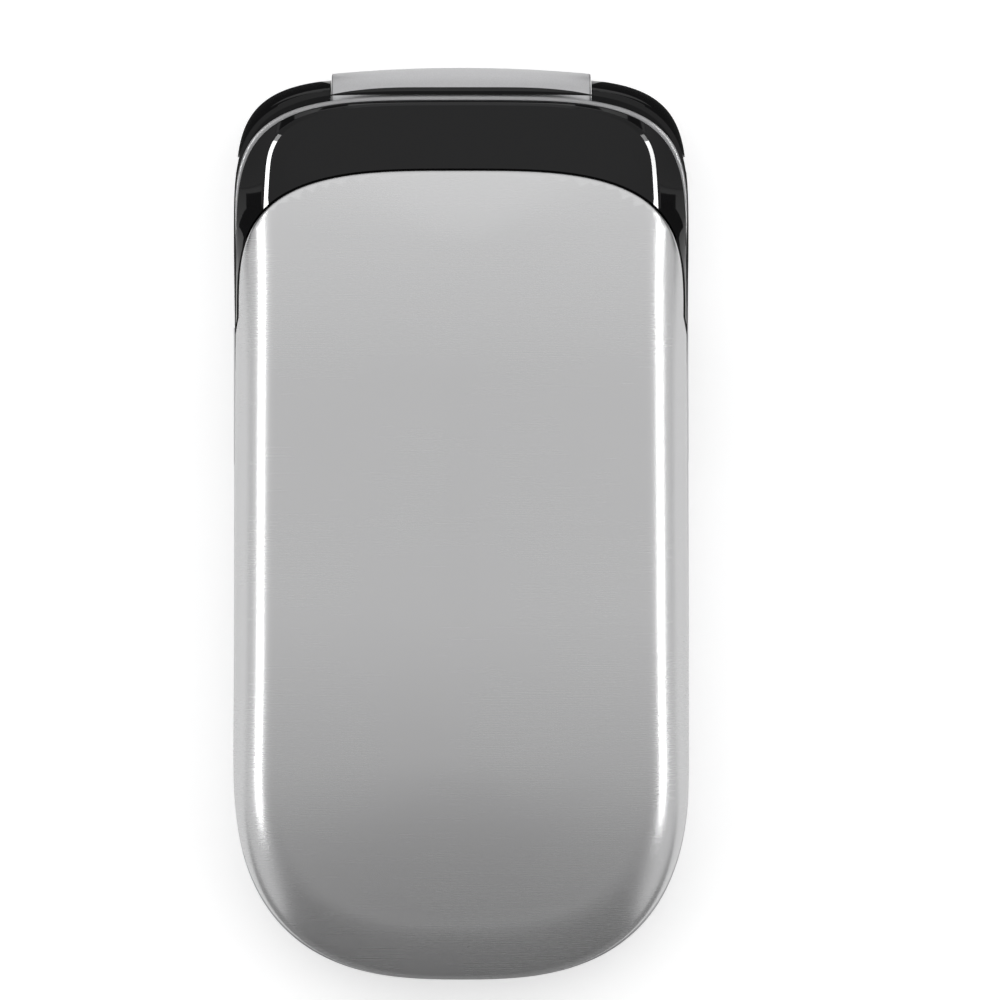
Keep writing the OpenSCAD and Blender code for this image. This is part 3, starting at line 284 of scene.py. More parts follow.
# %% Heights of the lid
RIM, RISE, RISE_Y, RISE_LENGTH = 2, 2.6, 26, 16    # the rim's height, its rise, where and how far
SHOULDER_Z = 17.1
LOW_FALL, LOW_FALL_Y, HIGH_FALL, HIGH_FALL_Y = 2.8, -8, 1.3, 15    # its fall to each end, and from where


def rim_height(y):
    v = clamp((y - RISE_Y) / RISE_LENGTH)
    return LID_Z + RIM + RISE * v * v * (3 - 2 * v)


def shoulder_height(y):
    low = power(clamp((LOW_FALL_Y - y) / (HALF_L + LOW_FALL_Y)), 2.2)
    return (SHOULDER_Z - LOW_FALL * low
            - HIGH_FALL * power(clamp((y - HIGH_FALL_Y) / (HALF_L - HIGH_FALL_Y)), 2))


# %% The forms' trees
SIDE_ROLL, LOW_ROLL, CAP_ROLL, CROWN = 4.2, 6.0, 2.0, 0.9
LEAN = 0.2    # what makes the roll meet the crown at the crown's own slope
ROLL_ROWS, CROWN_ROWS = 24, 16
CAP_SHORT = 0.45    # how much the cap is drawn in at the hinge end, where the camera is closest to it
FACET_Y, FACET_BLEND = 25, 6    # from here on the lid's body has a plain wall and a bevel instead of the roll
WALL_SLOPE, WALL_SHARE, ABOVE_WALL = 0.75, 0.66, 0.6    # its slope, widest share of the roll, what is over it
BEVEL_SHARE, BEVEL_DROP, LIP_DROP = 0.13, 0.26, 0.05


def lid_tree():
    """Floor, chamfered foot, upright rim, roll and crown; facet 1 makes the roll a wall and a bevel."""
    tree, given = new_tree("lid form", inset=0, drop=0, foot=0.2, facet=0, short=0)
    first_roll = 3

    def place(column, row):
        v = clamp((row - first_roll) / ROLL_ROWS)
        t = RIGHT_ANGLE * v
        wall, bevel, rest = clamp(v * 2), clamp(v * 4 - 2), clamp(v * 4 - 3)
        s = clamp(row) * (1 - clamp((row - first_roll - ROLL_ROWS) / CROWN_ROWS))
        draw = given["inset"] + given["foot"] * (1 - above(row, 1.5))
        edge_y = outline_point(column, *lid_ends(draw, draw, draw + given["short"]))[1]
        facet = given["facet"] * clamp((edge_y - FACET_Y) / FACET_BLEND)
        steep = (shoulder_height(edge_y) - rim_height(edge_y) - ABOVE_WALL) / (WALL_SLOPE * SIDE_ROLL)
        broad = steep / power(1 + power(steep / WALL_SHARE, 6), 1 / 6)    # the smaller one, without a kink
        u = mix(1 - cos(t), broad * wall + BEVEL_SHARE * bevel + (1 - BEVEL_SHARE - broad) * rest, facet)
        x, y = outline_point(column, *lid_ends(draw + SIDE_ROLL * u, draw + LOW_ROLL * u,
                                                draw + CAP_ROLL * u + given["short"], s))
        rim, shoulder = rim_height(y), shoulder_height(y) - given["drop"]
        z = LID_Z + given["foot"] * above(row, 1.5) * (1 - above(row, 2.5))
        rolled = (shoulder - rim - LEAN) * sin(t) + LEAN * u * u
        walled = (shoulder - rim - (BEVEL_DROP + LIP_DROP)) * wall + BEVEL_DROP * bevel + LIP_DROP * rest
        z = z + above(row, 2.5) * (rim - LID_Z + mix(rolled, walled, facet))
        flat = greater(s, 0.1)
        return x, y, z + CROWN * (1 - flat * flat) * above(row, first_roll + ROLL_ROWS + 0.5)

    return bend_grid(tree, given, ROUND + 1, first_roll + ROLL_ROWS + CROWN_ROWS + 1, place)


WAIST, BASE_LEAN = 5.2, 0.15    # the base's widest height, and how far its wall leans in over it


def base_tree():
    """A flat back, the roll up to the waist, and a wall that leans in to a chamfered top."""
    tree, given = new_tree("base form", roll=4.5, waist=WAIST, lean=BASE_LEAN, edge=0.2)
    rolls = 20

    def place(column, row):
        t = RIGHT_ANGLE * clamp((row - 1) / rolls)
        top = above(row, rolls + 1.5)
        edge = above(row, rolls + 2.5)
        inset = given["roll"] * (1 - sin(t)) + given["lean"] * top + given["edge"] * edge
        s = clamp(row) * (1 - clamp(row - rolls - 3))
        x, y = outline_point(column, *base_ends(inset, s))
        z = given["waist"] * (1 - cos(t)) + (BASE_TOP - given["edge"] - given["waist"]) * top
        return x, y, z + given["edge"] * edge

    return bend_grid(tree, given, ROUND + 1, rolls + 5, place)


SKIRT_HIGH, SKIRT_LOW = (22.85, 16.75, 4.2), (22.55, 2.0, 2.0)    # each end's half width, reach, squareness


def skirt_tree():
    """The low step round the cap's edge: an upright wall between two chamfers."""
    tree, given = new_tree("skirt form", chamfer=0.4, foot=0.2)

    def place(column, row):
        inset = given["foot"] * (1 - above(row, 1.5)) + given["chamfer"] * above(row, 3.5)
        s = clamp(row) * (1 - clamp(row - 4))
        x, y = outline_point(
            column, (s * (SKIRT_HIGH[0] - inset), CAP_Y, s * (SKIRT_HIGH[1] - inset), SKIRT_HIGH[2]),
            (s * (SKIRT_LOW[0] - inset), 5.0, s * SKIRT_LOW[1], SKIRT_LOW[2]))
        wall = rim_height(y) - 0.15 - given["chamfer"]
        z = mix(LID_Z + given["foot"] * above(row, 1.5), wall, above(row, 2.5))
        return x, y, z + given["chamfer"] * above(row, 3.5)

    return bend_grid(tree, given, ROUND + 1, 6, place)


def ear_tree():
    """What the ears' outer ends follow: the base's outline, rolled in above and below the hinge's axis."""
    tree, given = new_tree("ear form", radius=4.4, roll=2.2)
    half = 16

    def place(column, row):
        t = RIGHT_ANGLE * (clamp((row - 1) / (2 * half)) * 2 - 1)
        s = clamp(row) * (1 - clamp(row - 2 * half - 1))
        x, y = outline_point(column, *base_ends(0.2 + given["roll"] * (1 - cos(t)), s))
        return x, y, HINGE_Z + given["radius"] * sin(t)

    return bend_grid(tree, given, ROUND + 1, 2 * half + 3, place)


def bead_tree():
    """A thin half-round line along the foot of the cap, which tapers away at both ends."""
    tree, given = new_tree("bead form", radius=0.27, taper=11, short=CAP_SHORT)
    around = 12

    def place(column, row):
        turn = 2 * math.pi * row / around
        edge = outline_point(column, *lid_ends(0, 0, given["short"]))
        radius = given["radius"] * power(clamp((edge[1] - CAP_Y) / given["taper"]), 0.8)
        out = -1 * radius * cos(turn)
        x, y = outline_point(column, *lid_ends(out, out, out + given["short"]))
        return x, y, rim_height(edge[1]) - 0.05 + radius * sin(turn)

    return bend_grid(tree, given, END_STEPS + 1, around + 1, place)


LID_FORM, BASE_FORM, SKIRT_FORM = lid_tree(), base_tree(), skirt_tree()
EAR_FORM, BEAD_FORM = ear_tree(), bead_tree()
print("trees:", [t.name for t in bpy.data.node_groups])

# %% [markdown]
# ## Plain solids for cuts
# Holes, pockets and slots are cut with prisms and turned bars. A cutter that widens at its mouth leaves a
# small chamfer, which catches the light as a moulded edge does. A solid Boolean is used for the cuts,
# because every form here is closed.

# %% Prisms, bars and cuts
def solid(name, rings, closed=False):
    """A solid through rings of points in millimetres; a closed one joins its last ring to its first."""
    count = len(rings[0])
    points = [(x * MM, y * MM, z * MM) for ring in rings for x, y, z in ring]
    faces = []
    for k in range(len(rings) - (0 if closed else 1)):
        a, b = k * count, (k + 1) % len(rings) * count
        faces += [(a + i, a + (i + 1) % count, b + (i + 1) % count, b + i) for i in range(count)]
    if not closed:
        faces += [tuple(range(count))[::-1], tuple(range((len(rings) - 1) * count, len(rings) * count))]
    mesh = bpy.data.meshes.new(name)
    mesh.from_pydata(points, [], faces)
    with opened(mesh) as work:
        bmesh.ops.recalc_face_normals(work, faces=work.faces)
    return new_object(name, mesh)


def tower(*levels):
    """A prism through (outline, height) levels; a height may be one number or one for each point."""
    return solid("tower", [[(x, y, z[i] if isinstance(z, list) else z) for i, (x, y) in enumerate(outline)]
                           for outline, z in levels])


def prism(outline, z0, z1):
    return tower((outline, z0), (outline, z1))


def below(outline, limit):
    """The part of a convex outline with y under the limit."""
    kept = []
    for (x0, y0), (x1, y1) in zip(outline, outline[1:] + outline[:1]):
        if y0 <= limit:
            kept.append((x0, y0))
        if (y0 <= limit) != (y1 <= limit):
            kept.append((mix(x0, x1, (limit - y0) / (y1 - y0)), limit))
    return kept


def round_rect(w, l, r, x=0, y=0, steps=8):
    """A rectangle's outline with round corners."""
    corners = [(w / 2 - r, l / 2 - r), (r - w / 2, l / 2 - r), (r - w / 2, r - l / 2), (w / 2 - r, r - l / 2)]
    return [(x + cx + r * math.cos(RIGHT_ANGLE * (q + k / steps)),
             y + cy + r * math.sin(RIGHT_ANGLE * (q + k / steps)))
            for q, (cx, cy) in enumerate(corners) for k in range(steps + 1)]


def circle(r, x=0, y=0, steps=40):
    return [(x + r * math.cos(2 * math.pi * k / steps), y + r * math.sin(2 * math.pi * k / steps))
            for k in range(steps)]


def quarter(steps, start=0):
    """The sine and cosine at each equal step of a quarter turn."""
    return [(math.sin(t), math.cos(t)) for t in [RIGHT_ANGLE * k / steps for k in range(start, steps + 1)]]


def both_sides(places):
    """Each place and its mirror image across the Y axis."""
    return [(side * x, y) for x, y in places for side in (1, -1)]


def block(w, l, z0, z1, x=0, y=0):
    corners = ((1, 1), (-1, 1), (-1, -1), (1, -1))
    return prism([(x + sx * w / 2, y + sy * l / 2) for sx, sy in corners], z0, z1)


def post(r, x, y, z0, z1, steps=40):
    return prism(circle(r, x, y, steps), z0, z1)


def turned_about_z(name, profile, steps=48, y=0):
    """A solid turned about Z through (radius, height) points, starting and ending on the axis."""
    return solid(name, [[(px, py, z) for px, py in circle(max(r, 0.001), 0, y, steps)] for r, z in profile])


def bar(stations, y=HINGE_Y, z=HINGE_Z, steps=96):
    """A solid turned about a line along X, through (x, radius) stations."""
    return solid("bar", [
        [(x, y + r * math.cos(2 * math.pi * k / steps), z + r * math.sin(2 * math.pi * k / steps))
         for k in range(steps)] for x, r in stations])


def rod(r, x0, x1):
    """A plain bar on the hinge's axis."""
    return bar([(x0, r), (x1, r)])


def carve(obj, *steps):
    """Each step is "cut", "add" or "keep" and a solid, which is used up."""
    for how, other in steps:
        boolean = obj.modifiers.new(how, "BOOLEAN")
        boolean.operation = {"cut": "DIFFERENCE", "add": "UNION", "keep": "INTERSECT"}[how]
        boolean.solver = "MANIFOLD"
        boolean.object = other
    settle(obj)
    for _, other in steps:
        bpy.data.objects.remove(other)
    return obj


def cut(*solids):
    """The carving steps that cut these solids."""
    return [("cut", other) for other in solids]


def moved(obj, x, y, z):
    """Moves a loose mesh, in millimetres."""
    for vertex in obj.data.vertices:
        vertex.co = [v + way * MM for v, way in zip(vertex.co, (x, y, z))]
    return obj


def shade(obj, angle=32):
    """Smooth across gentle edges, crisp across the others."""
    for face in obj.data.polygons:
        face.use_smooth = True
    with opened(obj.data) as work:
        for edge in work.edges:
            edge.smooth = len(edge.link_faces) == 2 and edge.calc_face_angle() < math.radians(angle)
    return obj


def join(first, *others):
    """Adds the others' faces and finishes to the first object."""
    with opened(first.data) as work:
        for other in others:
            before, offset = len(work.faces), len(first.data.materials)
            work.from_mesh(other.data)
            work.faces.ensure_lookup_table()
            for face in work.faces[before:]:
                face.material_index += offset
            for material in other.data.materials:
                first.data.materials.append(material)
    for other in others:
        bpy.data.objects.remove(other)
    return first


def finished(obj, *materials):
    """Gives a loose piece its finishes, in place of any that it has."""
    obj.data.materials.clear()
    for material in materials:
        obj.data.materials.append(material)
    return obj


def volume(obj):
    with opened(obj.data) as work:
        return round(work.calc_volume() / MM ** 3, 1)


BODY_OF = {node: body for body, nodes in frame["record"]["behaviour"]["bodies"].items() for node in nodes}


def dress(obj, node, *finishes):
    """Names a finished piece after the CAD node it stands for, and gives it its body and finishes."""
    obj.name = node + "_piece"
    if finishes:
        finished(obj, *finishes)
    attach(obj, BODY_OF[node])
    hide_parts(node)
    print(obj.name, "on", BODY_OF[node], "-", len(obj.data.polygons), "faces,", volume(obj), "mm3")
    return obj


print("a test rod holds", volume(rod(1, 0, 10)), "mm3")
bpy.data.objects.remove(bpy.data.objects["bar"])

# %% [markdown]
# ## Finishes
# Real surfaces are never one flat colour. A painted or brushed part has a fine grain that shifts its
# colour a little, uneven gloss where hands have polished it, and a skin that isn't quite flat. One helper
# builds each finish from noise on Object coordinates: a fine grain, stretched where the part is brushed,
# and a slow mottle for handling. Colour, gloss and bump each read them by their own share. A second helper
# prints another colour over a finish, such as the border under a window.

# %% The helper for finishes
FINISHES = {}


def finish(name, colour, metallic=0.0, roughness=0.5, grain=9000, colour_share=0.05, gloss_share=0.06,
           depth=0.002, mottle=120.0, mottle_share=0.05, specks=None, **sockets):
    """A finish from a fine grain and a slow mottle.

    grain and mottle say how often they repeat in a metre; a grain of three is stretched. The shares say
    how much each shows, and depth is the bump's, in millimetres. specks are a third pattern and its share.
    """
    material = bpy.data.materials.new(name)
    material.use_nodes = True
    tree = material.node_tree
    shader = tree.nodes["Principled BSDF"]
    where = tree.nodes.new("ShaderNodeTexCoord").outputs["Object"]
    scale = grain if isinstance(grain, tuple) else (grain, grain, grain)
    stretched = add_node(tree, "ShaderNodeMapping", Vector=where, Scale=scale).outputs[0]
    fine = add_node(tree, "ShaderNodeTexNoise", Vector=stretched, Scale=1.0, Detail=3.0, Roughness=0.6)
    slow = add_node(tree, "ShaderNodeTexNoise", Vector=where, Scale=mottle, Detail=4.0, Roughness=0.55)
    fine_value = Field(tree, fine.outputs["Fac"]) - 0.5
    slow_value = Field(tree, slow.outputs["Fac"]) - 0.5
    tone = 1 + fine_value * (2 * colour_share) + slow_value * (2 * mottle_share)
    if specks:
        spots = add_node(tree, "ShaderNodeTexVoronoi", Vector=where, Scale=specks[0])
        bright = add_node(tree, "ShaderNodeSeparateColor", Color=spots.outputs["Color"]).outputs[0]
        tone = tone + (Field(tree, bright) - 0.5) * specks[1]
    tinted = add_node(tree, "ShaderNodeMix", {"data_type": "RGBA", "blend_type": "MULTIPLY"})
    tinted.inputs[0].default_value = 1.0
    tinted.inputs[6].default_value = (*colour, 1)
    grey = add_node(tree, "ShaderNodeCombineColor", Red=tone, Green=tone, Blue=tone)
    tree.links.new(grey.outputs[0], tinted.inputs[7])
    tree.links.new(tinted.outputs[2], shader.inputs["Base Color"])
    gloss = clamp(roughness + fine_value * (2 * gloss_share) + slow_value * (2 * gloss_share))
    feed(tree, shader.inputs["Roughness"], gloss)
    bump = add_node(tree, "ShaderNodeBump", Height=fine.outputs["Fac"], Strength=0.6, Distance=depth * MM)
    tree.links.new(bump.outputs[0], shader.inputs["Normal"])
    shader.inputs["Metallic"].default_value = metallic
    for label, value in sockets.items():
        shader.inputs[label.replace("_", " ")].default_value = value
    material.diffuse_color = (*colour, 1)
    FINISHES[name] = material
    return material


def place_on(material):
    """X and Y on the object, as fields in millimetres."""
    tree = material.node_tree
    spot = add_node(tree, "ShaderNodeSeparateXYZ", Vector=tree.nodes["Texture Coordinate"].outputs["Object"])
    return [Field(tree, spot.outputs[axis]) / MM for axis in "XY"]


def print_over(material, share, under, over, *sockets):
    """Gives a finish the over colour where the share is 1; the named sockets take the share as well."""
    tree = material.node_tree
    shader = tree.nodes["Principled BSDF"]
    colour = add_node(tree, "ShaderNodeMix", {"data_type": "RGBA"}, Factor=share)
    colour.inputs[6].default_value, colour.inputs[7].default_value = (*under, 1), (*over, 1)
    tree.links.new(colour.outputs[2], shader.inputs["Base Color"])
    for label in sockets:
        feed(tree, shader.inputs[label], share)
    return material


satin_silver = finish("satin silver", (0.62, 0.62, 0.625), 0.95, 0.27, (60, 11000, 900), 0.014, 0.014, 0.0005,
                      mottle=60, mottle_share=0.012)
gloss_black = finish("gloss black", (0.004, 0.004, 0.0044), 0.0, 0.04, 700, 0.1, 0.01, 0.0004, mottle=90,
                     mottle_share=0.1, IOR=1.32)
# The bead's lighter grey is a painted highlight: it stands for the bright line that the cap's edge shows.
painted_highlight_line = finish("painted highlight line", (0.28, 0.28, 0.285), 0.0, 0.42, 3000, 0.08, 0.04, 0.0008)
silver_case = finish("silver case", (0.56, 0.56, 0.57), 0.8, 0.38, 7000, 0.06, 0.05, 0.002, mottle_share=0.02,
                     specks=(16000, 0.10))
soft_black = finish("soft black", (0.016, 0.016, 0.018), 0.0, 0.52, 5200, 0.2, 0.08, 0.01)
print("finishes:", list(FINISHES))

# %% [markdown]
# ## Lid cover
# The outer cover is a crowned silver moulding about a millimetre thick. Its upper edge is cut in an arc,
# where it meets the black cap with a thin bright rim. The cover is the lid's form with a slightly smaller
# copy taken out, kept only inside the arc. The cutter's wall is rounded inwards just under the surface,
# which rounds that edge; for this it needs the surface's height at each point of the arc.

# %% The surface's height at a point
def halve(low, high, is_low):
    """Narrows a range down to the step where is_low stops being true."""
    for _ in range(24):
        middle = (low + high) / 2
        low, high = (middle, high) if is_low(middle) else (low, middle)
    return low, high


def lid_height(x, y):
    """Height of the lid's surface over a point, found by halving."""
    def inside(u, s):
        high, low = lid_ends(SIDE_ROLL * u, LOW_ROLL * u, CAP_ROLL * u, s)
        if y > CAP_Y:
            return (abs(x) / high[0]) ** CAP[1] + ((y - CAP_Y) / high[2]) ** CAP[1] < 1
        if y < LOW_Y:
            return (abs(x) / low[0]) ** LID_LOW[1] + ((LOW_Y - y) / low[2]) ** LID_LOW[1] < 1
        return abs(x) < mix(low[0], high[0], (y - LOW_Y) / (CAP_Y - LOW_Y))

    rim, shoulder = rim_height(y), shoulder_height(y)
    if not inside(0, 1):
        return rim
    if inside(1, 1):    # on the crown
        s = halve(0.05, 1.0, lambda v: not inside(1, v))[1]
        return shoulder + CROWN * (1 - s * s)
    t = halve(0.0, RIGHT_ANGLE, lambda v: inside(1 - math.cos(v), 1))[0]
    return rim + (shoulder - rim - LEAN) * math.sin(t) + LEAN * (1 - math.cos(t)) ** 2


COVER_Y, COVER_END = 20.8, (14.6, 3.3)    # the arc's centre, then its reach and squareness


def cover_plan(larger):
    """The cover's arc; below its reach it flares past the lid's sides."""
    arc = [end_point(math.pi * k / END_STEPS, HALF_W - 0.8 + larger, COVER_Y, COVER_END[0] + larger,
                     COVER_END[1])
           for k in range(END_STEPS + 1)]
    out, low = HALF_W + 1, -HALF_L - 1
    return arc + [(-out, COVER_Y - 9), (-out, low), (out, low), (out, COVER_Y - 9)]


print("the crown's top is at", round(lid_height(0, 0), 2), "mm")

# %% The lid cover
def cover_cutter():
    """Its wall follows the arc and rounds inwards just under the surface, then breaks through it."""
    radius, past_inset, past_height = 0.25, 0.35, 0.2
    levels = [(cover_plan(0), 12.2)]
    for k in range(5):
        t = math.radians(15 * k)
        ring = cover_plan(-radius * (1 - math.cos(t)))
        levels.append((ring, [lid_height(x, y) - radius * (1 - math.sin(t)) for x, y in ring]))
    past = cover_plan(-radius * 0.5 - past_inset)
    levels.append((past, [max(h, lid_height(x, y)) + past_height for h, (x, y) in zip(levels[-1][1], past)]))
    return tower(*levels, (past, 20.0))


COVER_THICK, COVER_STEP, SEAT_GAP, NO_FOOT = 1, 0.25, 0.05, 0.01
cover = carve(grow("lid_cover_shell", LID_FORM, foot=NO_FOOT),
              *cut(grow("inner", LID_FORM, inset=COVER_THICK, drop=COVER_THICK, foot=NO_FOOT)),
              ("keep", cover_cutter()))
dress(shade(cover), "lid_cover", satin_silver)

# %% [markdown]
# ## Lid frame
# Everything black that shows round the silver cover is one moulding: the glossy cap at the hinge end, the
# low skirt under it, the two ears that hold the hinge, and the rim that closes on the base. It is joined
# from its forms and then hollowed, with the same cuts as the CAD solid. The ears are turned bars whose
# outer ends follow the outline.

# %% The lid frame
LID_POSTS = both_sides([(15.2, -36.2), (17.0, 33.1)])
POST_R, BORE_R = 1.6, 0.6
LID_WALL, LID_ROOF, LID_ROOM_Y = 1.9, 0.85, 35.65    # the lid's hollow: its wall, its roof and where it ends
LID_POST_Z, LID_BORE_Z = 11.35, 13.7    # where its posts start, and how high their bores reach
EAR_X, EAR_R = 13.08, 4.4    # where the ears end, close to the barrel, and their radius
SHAFT_X, SHAFT_BORES = 17.3, (1.525, 1.625)    # how far the hinge's bores reach into the ears, left and right


def ears():
    """Both ears: chamfered bars, kept inside the rolled form."""
    edge, far = 0.12, 24
    half = [(EAR_X, EAR_R - edge), (EAR_X + edge, EAR_R), (far, EAR_R)]
    return carve(grow("ears", EAR_FORM), ("keep", bar([(-x, r) for x, r in half[::-1]] + half)),
                 *cut(block(2 * EAR_X, 20, 0, 20, 0, HINGE_Y)))


def lid_cavity():
    """The lid's hollow, with the posts for its screws left standing."""
    room = moved(grow("cavity", LID_FORM, inset=LID_WALL, drop=LID_ROOF, foot=NO_FOOT), 0, 0, -1)
    mouth = prism(plan(lid_ends(LID_WALL, LID_WALL, LID_WALL)), LID_Z - 1.5, LID_Z + 1.5)
    posts = [post(POST_R, x, y, LID_POST_Z, 20) for x, y in LID_POSTS]
    return carve(room, ("add", mouth), *cut(block(60, 40, 0, 30, 0, LID_ROOM_Y + 20), *posts))


frame_shell = grow("lid_frame_shell", LID_FORM, drop=COVER_STEP, facet=1, short=CAP_SHORT)
seat = COVER_THICK + SEAT_GAP
carve(frame_shell, ("add", grow("skirt", SKIRT_FORM)),
      *cut(prism(cover_plan(0.2), LID_Z + RIM - SEAT_GAP, 20)),
      ("add", grow("core", LID_FORM, inset=seat, drop=seat)), ("add", ears()),
      *cut(lid_cavity(), *[post(BORE_R, x, y, 5, LID_BORE_Z) for x, y in LID_POSTS], rod(4.9, -EAR_X, EAR_X),
           rod(SHAFT_BORES[0], -SHAFT_X, 0), rod(SHAFT_BORES[1], 0, SHAFT_X)))
# The half-round bead along the cap's foot is real shape; its lighter grey paints in the highlight along the
# cap's edge.
dress(join(shade(finished(frame_shell, gloss_black)), shade(grow("bead", BEAD_FORM, painted_highlight_line))), "lid_frame")

# %% [markdown]
# ## Base cases
# The base is two silver mouldings that meet in a fine groove. The front one carries the keypad's face and
# the hinge barrel; the rear one holds the battery and rises in a round heel to the hinge. Both come from
# the base's form, cut by the heel's profile and split at the line where they meet.

# %% The base's form with its heel
CASE_LINE, CASE_GROOVE, CASE_WALL = 7.3, 0.12, 1.6    # where the cases meet, the groove there, and their wall
TRAY_Z, FACE_Z, TRAY_TOP_Y = 5.7, 8.7, 35.6    # the board's room: floor, the keypad's face over it, end
BASE_POSTS = both_sides([(16.4, -37.6), (17.8, 30.0)])
HEEL_R, HEEL_START, HEEL_END, NOSE_R = 9.55, 31.0, 38.9, 1.6
BARREL_X, BARREL_R, BARREL_FALL = 13, 4.6, 0.6    # its half length, its radius, and how much less at its ends


def heel():
    """The base seen from its side, as wide as the phone: a flat back, the heel's arc and its nose."""
    turn = math.asin((HEEL_END - NOSE_R - HEEL_START) / (HEEL_R - NOSE_R))
    under, steps, nose_steps = -0.001, 24, 12
    side = [(-HALF_L - 1, under), (HEEL_START, under)]
    side += [(HEEL_START + HEEL_R * math.sin(a), HEEL_R * (1 - math.cos(a)))
             for a in [turn * k / steps for k in range(1, steps + 1)]]
    nose_z = HEEL_R - (HEEL_R - NOSE_R) * math.cos(turn)
    side += [(HEEL_END - NOSE_R * (1 - math.sin(a)), nose_z - NOSE_R * math.cos(a))
             for a in [mix(turn, RIGHT_ANGLE, k / nose_steps) for k in range(1, nose_steps + 1)]]
    side += [(HEEL_END, BASE_TOP + 1), (-HALF_L - 1, BASE_TOP + 1)]
    return solid("heel", [[(x, y, z) for y, z in side] for x in (-25, 25)])


def base_half():
    """The whole base before it is split."""
    corner = round_rect(2 * HINGE_W, 2 * HALF_L, 5, 0, HEEL_END - HALF_L, 16)
    return carve(grow("base", BASE_FORM), ("keep", heel()), ("keep", prism(corner, -1, 12)))


def case_line(inset):
    """The outline at the height where the cases meet."""
    return plan(base_ends(BASE_LEAN * (CASE_LINE - WAIST) / (BASE_TOP - WAIST) + inset))


def barrel(larger=0.0):
    """The hinge barrel, a little fuller in its middle, with chamfered ends."""
    edge, steps, middle = 0.1, 32, BARREL_R + larger
    end = middle - BARREL_FALL
    stations = [(x, middle - BARREL_FALL * (x / BARREL_X) ** 2)
                for x in [mix(-BARREL_X, BARREL_X, k / steps) for k in range(1, steps)]]
    return bar([(-BARREL_X, end - edge), (-BARREL_X + edge, end), *stations, (BARREL_X - edge, end),
                (BARREL_X, end - edge)])


def ear_rooms():
    return [rod(4.7, side * BARREL_X, side * 24) for side in (1, -1)]


print("base form:", volume(base_half()), "mm3")
bpy.data.objects.remove(bpy.data.objects["base"])

# %% The front case
PAD_Y = -4.4    # the top row of number keys
KEY_PITCH = (11.8, 8.8)
NAV_Y, NAV_SIZE = 16.8, (18, 15)
PIN_Z, LIP_Z, KEY_Z = 7.075, 8.1, 10.0    # the heights of every key's pin, lip and top
MICROPHONE_Y = -38.6
NUMBER_KEYS = ["1", "2", "3", "4", "5", "6", "7", "8", "9", "star", "0", "hash"]


def number_at(i):
    return (i % 3 - 1) * KEY_PITCH[0], PAD_Y - i // 3 * KEY_PITCH[1]


KEY_PLACES = {"key_" + n: (10.6, 7.4, *number_at(i)) for i, n in enumerate(NUMBER_KEYS)}
KEY_PLACES.update({"soft_key_left": (7.4, 7, -14.2, 19.2), "soft_key_right": (7.4, 7, 14.2, 19.2),
                   "send_key": (7.4, 7, -14.2, 10.0), "end_key": (7.4, 7, 14.2, 10.0),
                   "clear_key": (9, 4.6, 0, 4.3)})


def key_hole(w, l, x, y, r=1.75):
    """A hole for a key, with a chamfered mouth."""
    gap, edge = 0.3, 0.18
    wall = round_rect(w + gap, l + gap, r, x, y)
    mouth = round_rect(w + gap + 2 * edge, l + gap + 2 * edge, r + edge, x, y)
    past = round_rect(w + gap + 4 * edge, l + gap + 4 * edge, r + 2 * edge, x, y)
    return tower((wall, 6.3), (wall, BASE_TOP - edge), (mouth, BASE_TOP), (past, BASE_TOP + edge))


def front_case():
    """The base over the line, with its barrel, posts, key holes and the hinge's bores."""
    past = case_line(-1)
    above_line = tower((case_line(CASE_GROOVE), CASE_LINE), (past, CASE_LINE + 1 + CASE_GROOVE), (past, 12))
    tray = prism(below(plan(base_ends(CASE_WALL)), TRAY_TOP_Y), 0, FACE_Z)
    case = carve(base_half(), ("keep", above_line), *cut(tray, *ear_rooms()))
    port = [(circle(r, 0, MICROPHONE_Y), z) for r, z in ((0.5, 6), (0.5, 9.6), (0.8, 9.9))]
    posts = [("add", post(POST_R, x, y, TRAY_Z + SEAT_GAP, FACE_Z + SEAT_GAP)) for x, y in BASE_POSTS]
    bores = [post(BORE_R, x, y, 0, FACE_Z - 0.1) for x, y in BASE_POSTS]
    hinge_bores = [rod(2.7, -BARREL_X - 1, 6.5), rod(1.65, 0, BARREL_X + 1)]    # for cartridge and bush
    keys = [key_hole(*at) for at in KEY_PLACES.values()]
    return carve(case, ("add", barrel()), *posts,
                 *cut(*bores, *hinge_bores, *keys, key_hole(*NAV_SIZE, 0, NAV_Y, 5), tower(*port)))


dress(shade(front_case()), "front_case", silver_case)

# %% The rear case
SPEAKER, BAY_TOP_Z = (-7.6, 32.0), 4.8
SIDE_Y, SIDE_Z = 13.0, 4.6    # the middle of the side controls
PLATE_INSET, PLATE_W, PLATE_TOP, PLATE_CORNER = 4.8, 18.3, 23.4, 2.5    # the battery cover's outline


def cover_recess():
    """The room of the battery cover, wider at its mouth."""
    gap, mouth, depth = 0.2, 0.15, 1.1

    def room(outline):
        wall, wide = outline(gap), outline(gap + mouth)
        return tower((wide, -1), (wide, 0.0), (wall, mouth), (wall, depth))

    def square(more):
        return round_rect(2 * (PLATE_W + more), 2 * HALF_L, PLATE_CORNER + more, 0,
                          PLATE_TOP + more - HALF_L, 10)
    return carve(room(lambda more: plan(base_ends(PLATE_INSET - more))), ("keep", room(square)))


def beside(half, w, l, x, y=SIDE_Y):
    """A block that reaches as far up as down from the middle of the side controls."""
    return block(w, l, SIDE_Z - half, SIDE_Z + half, x, y)


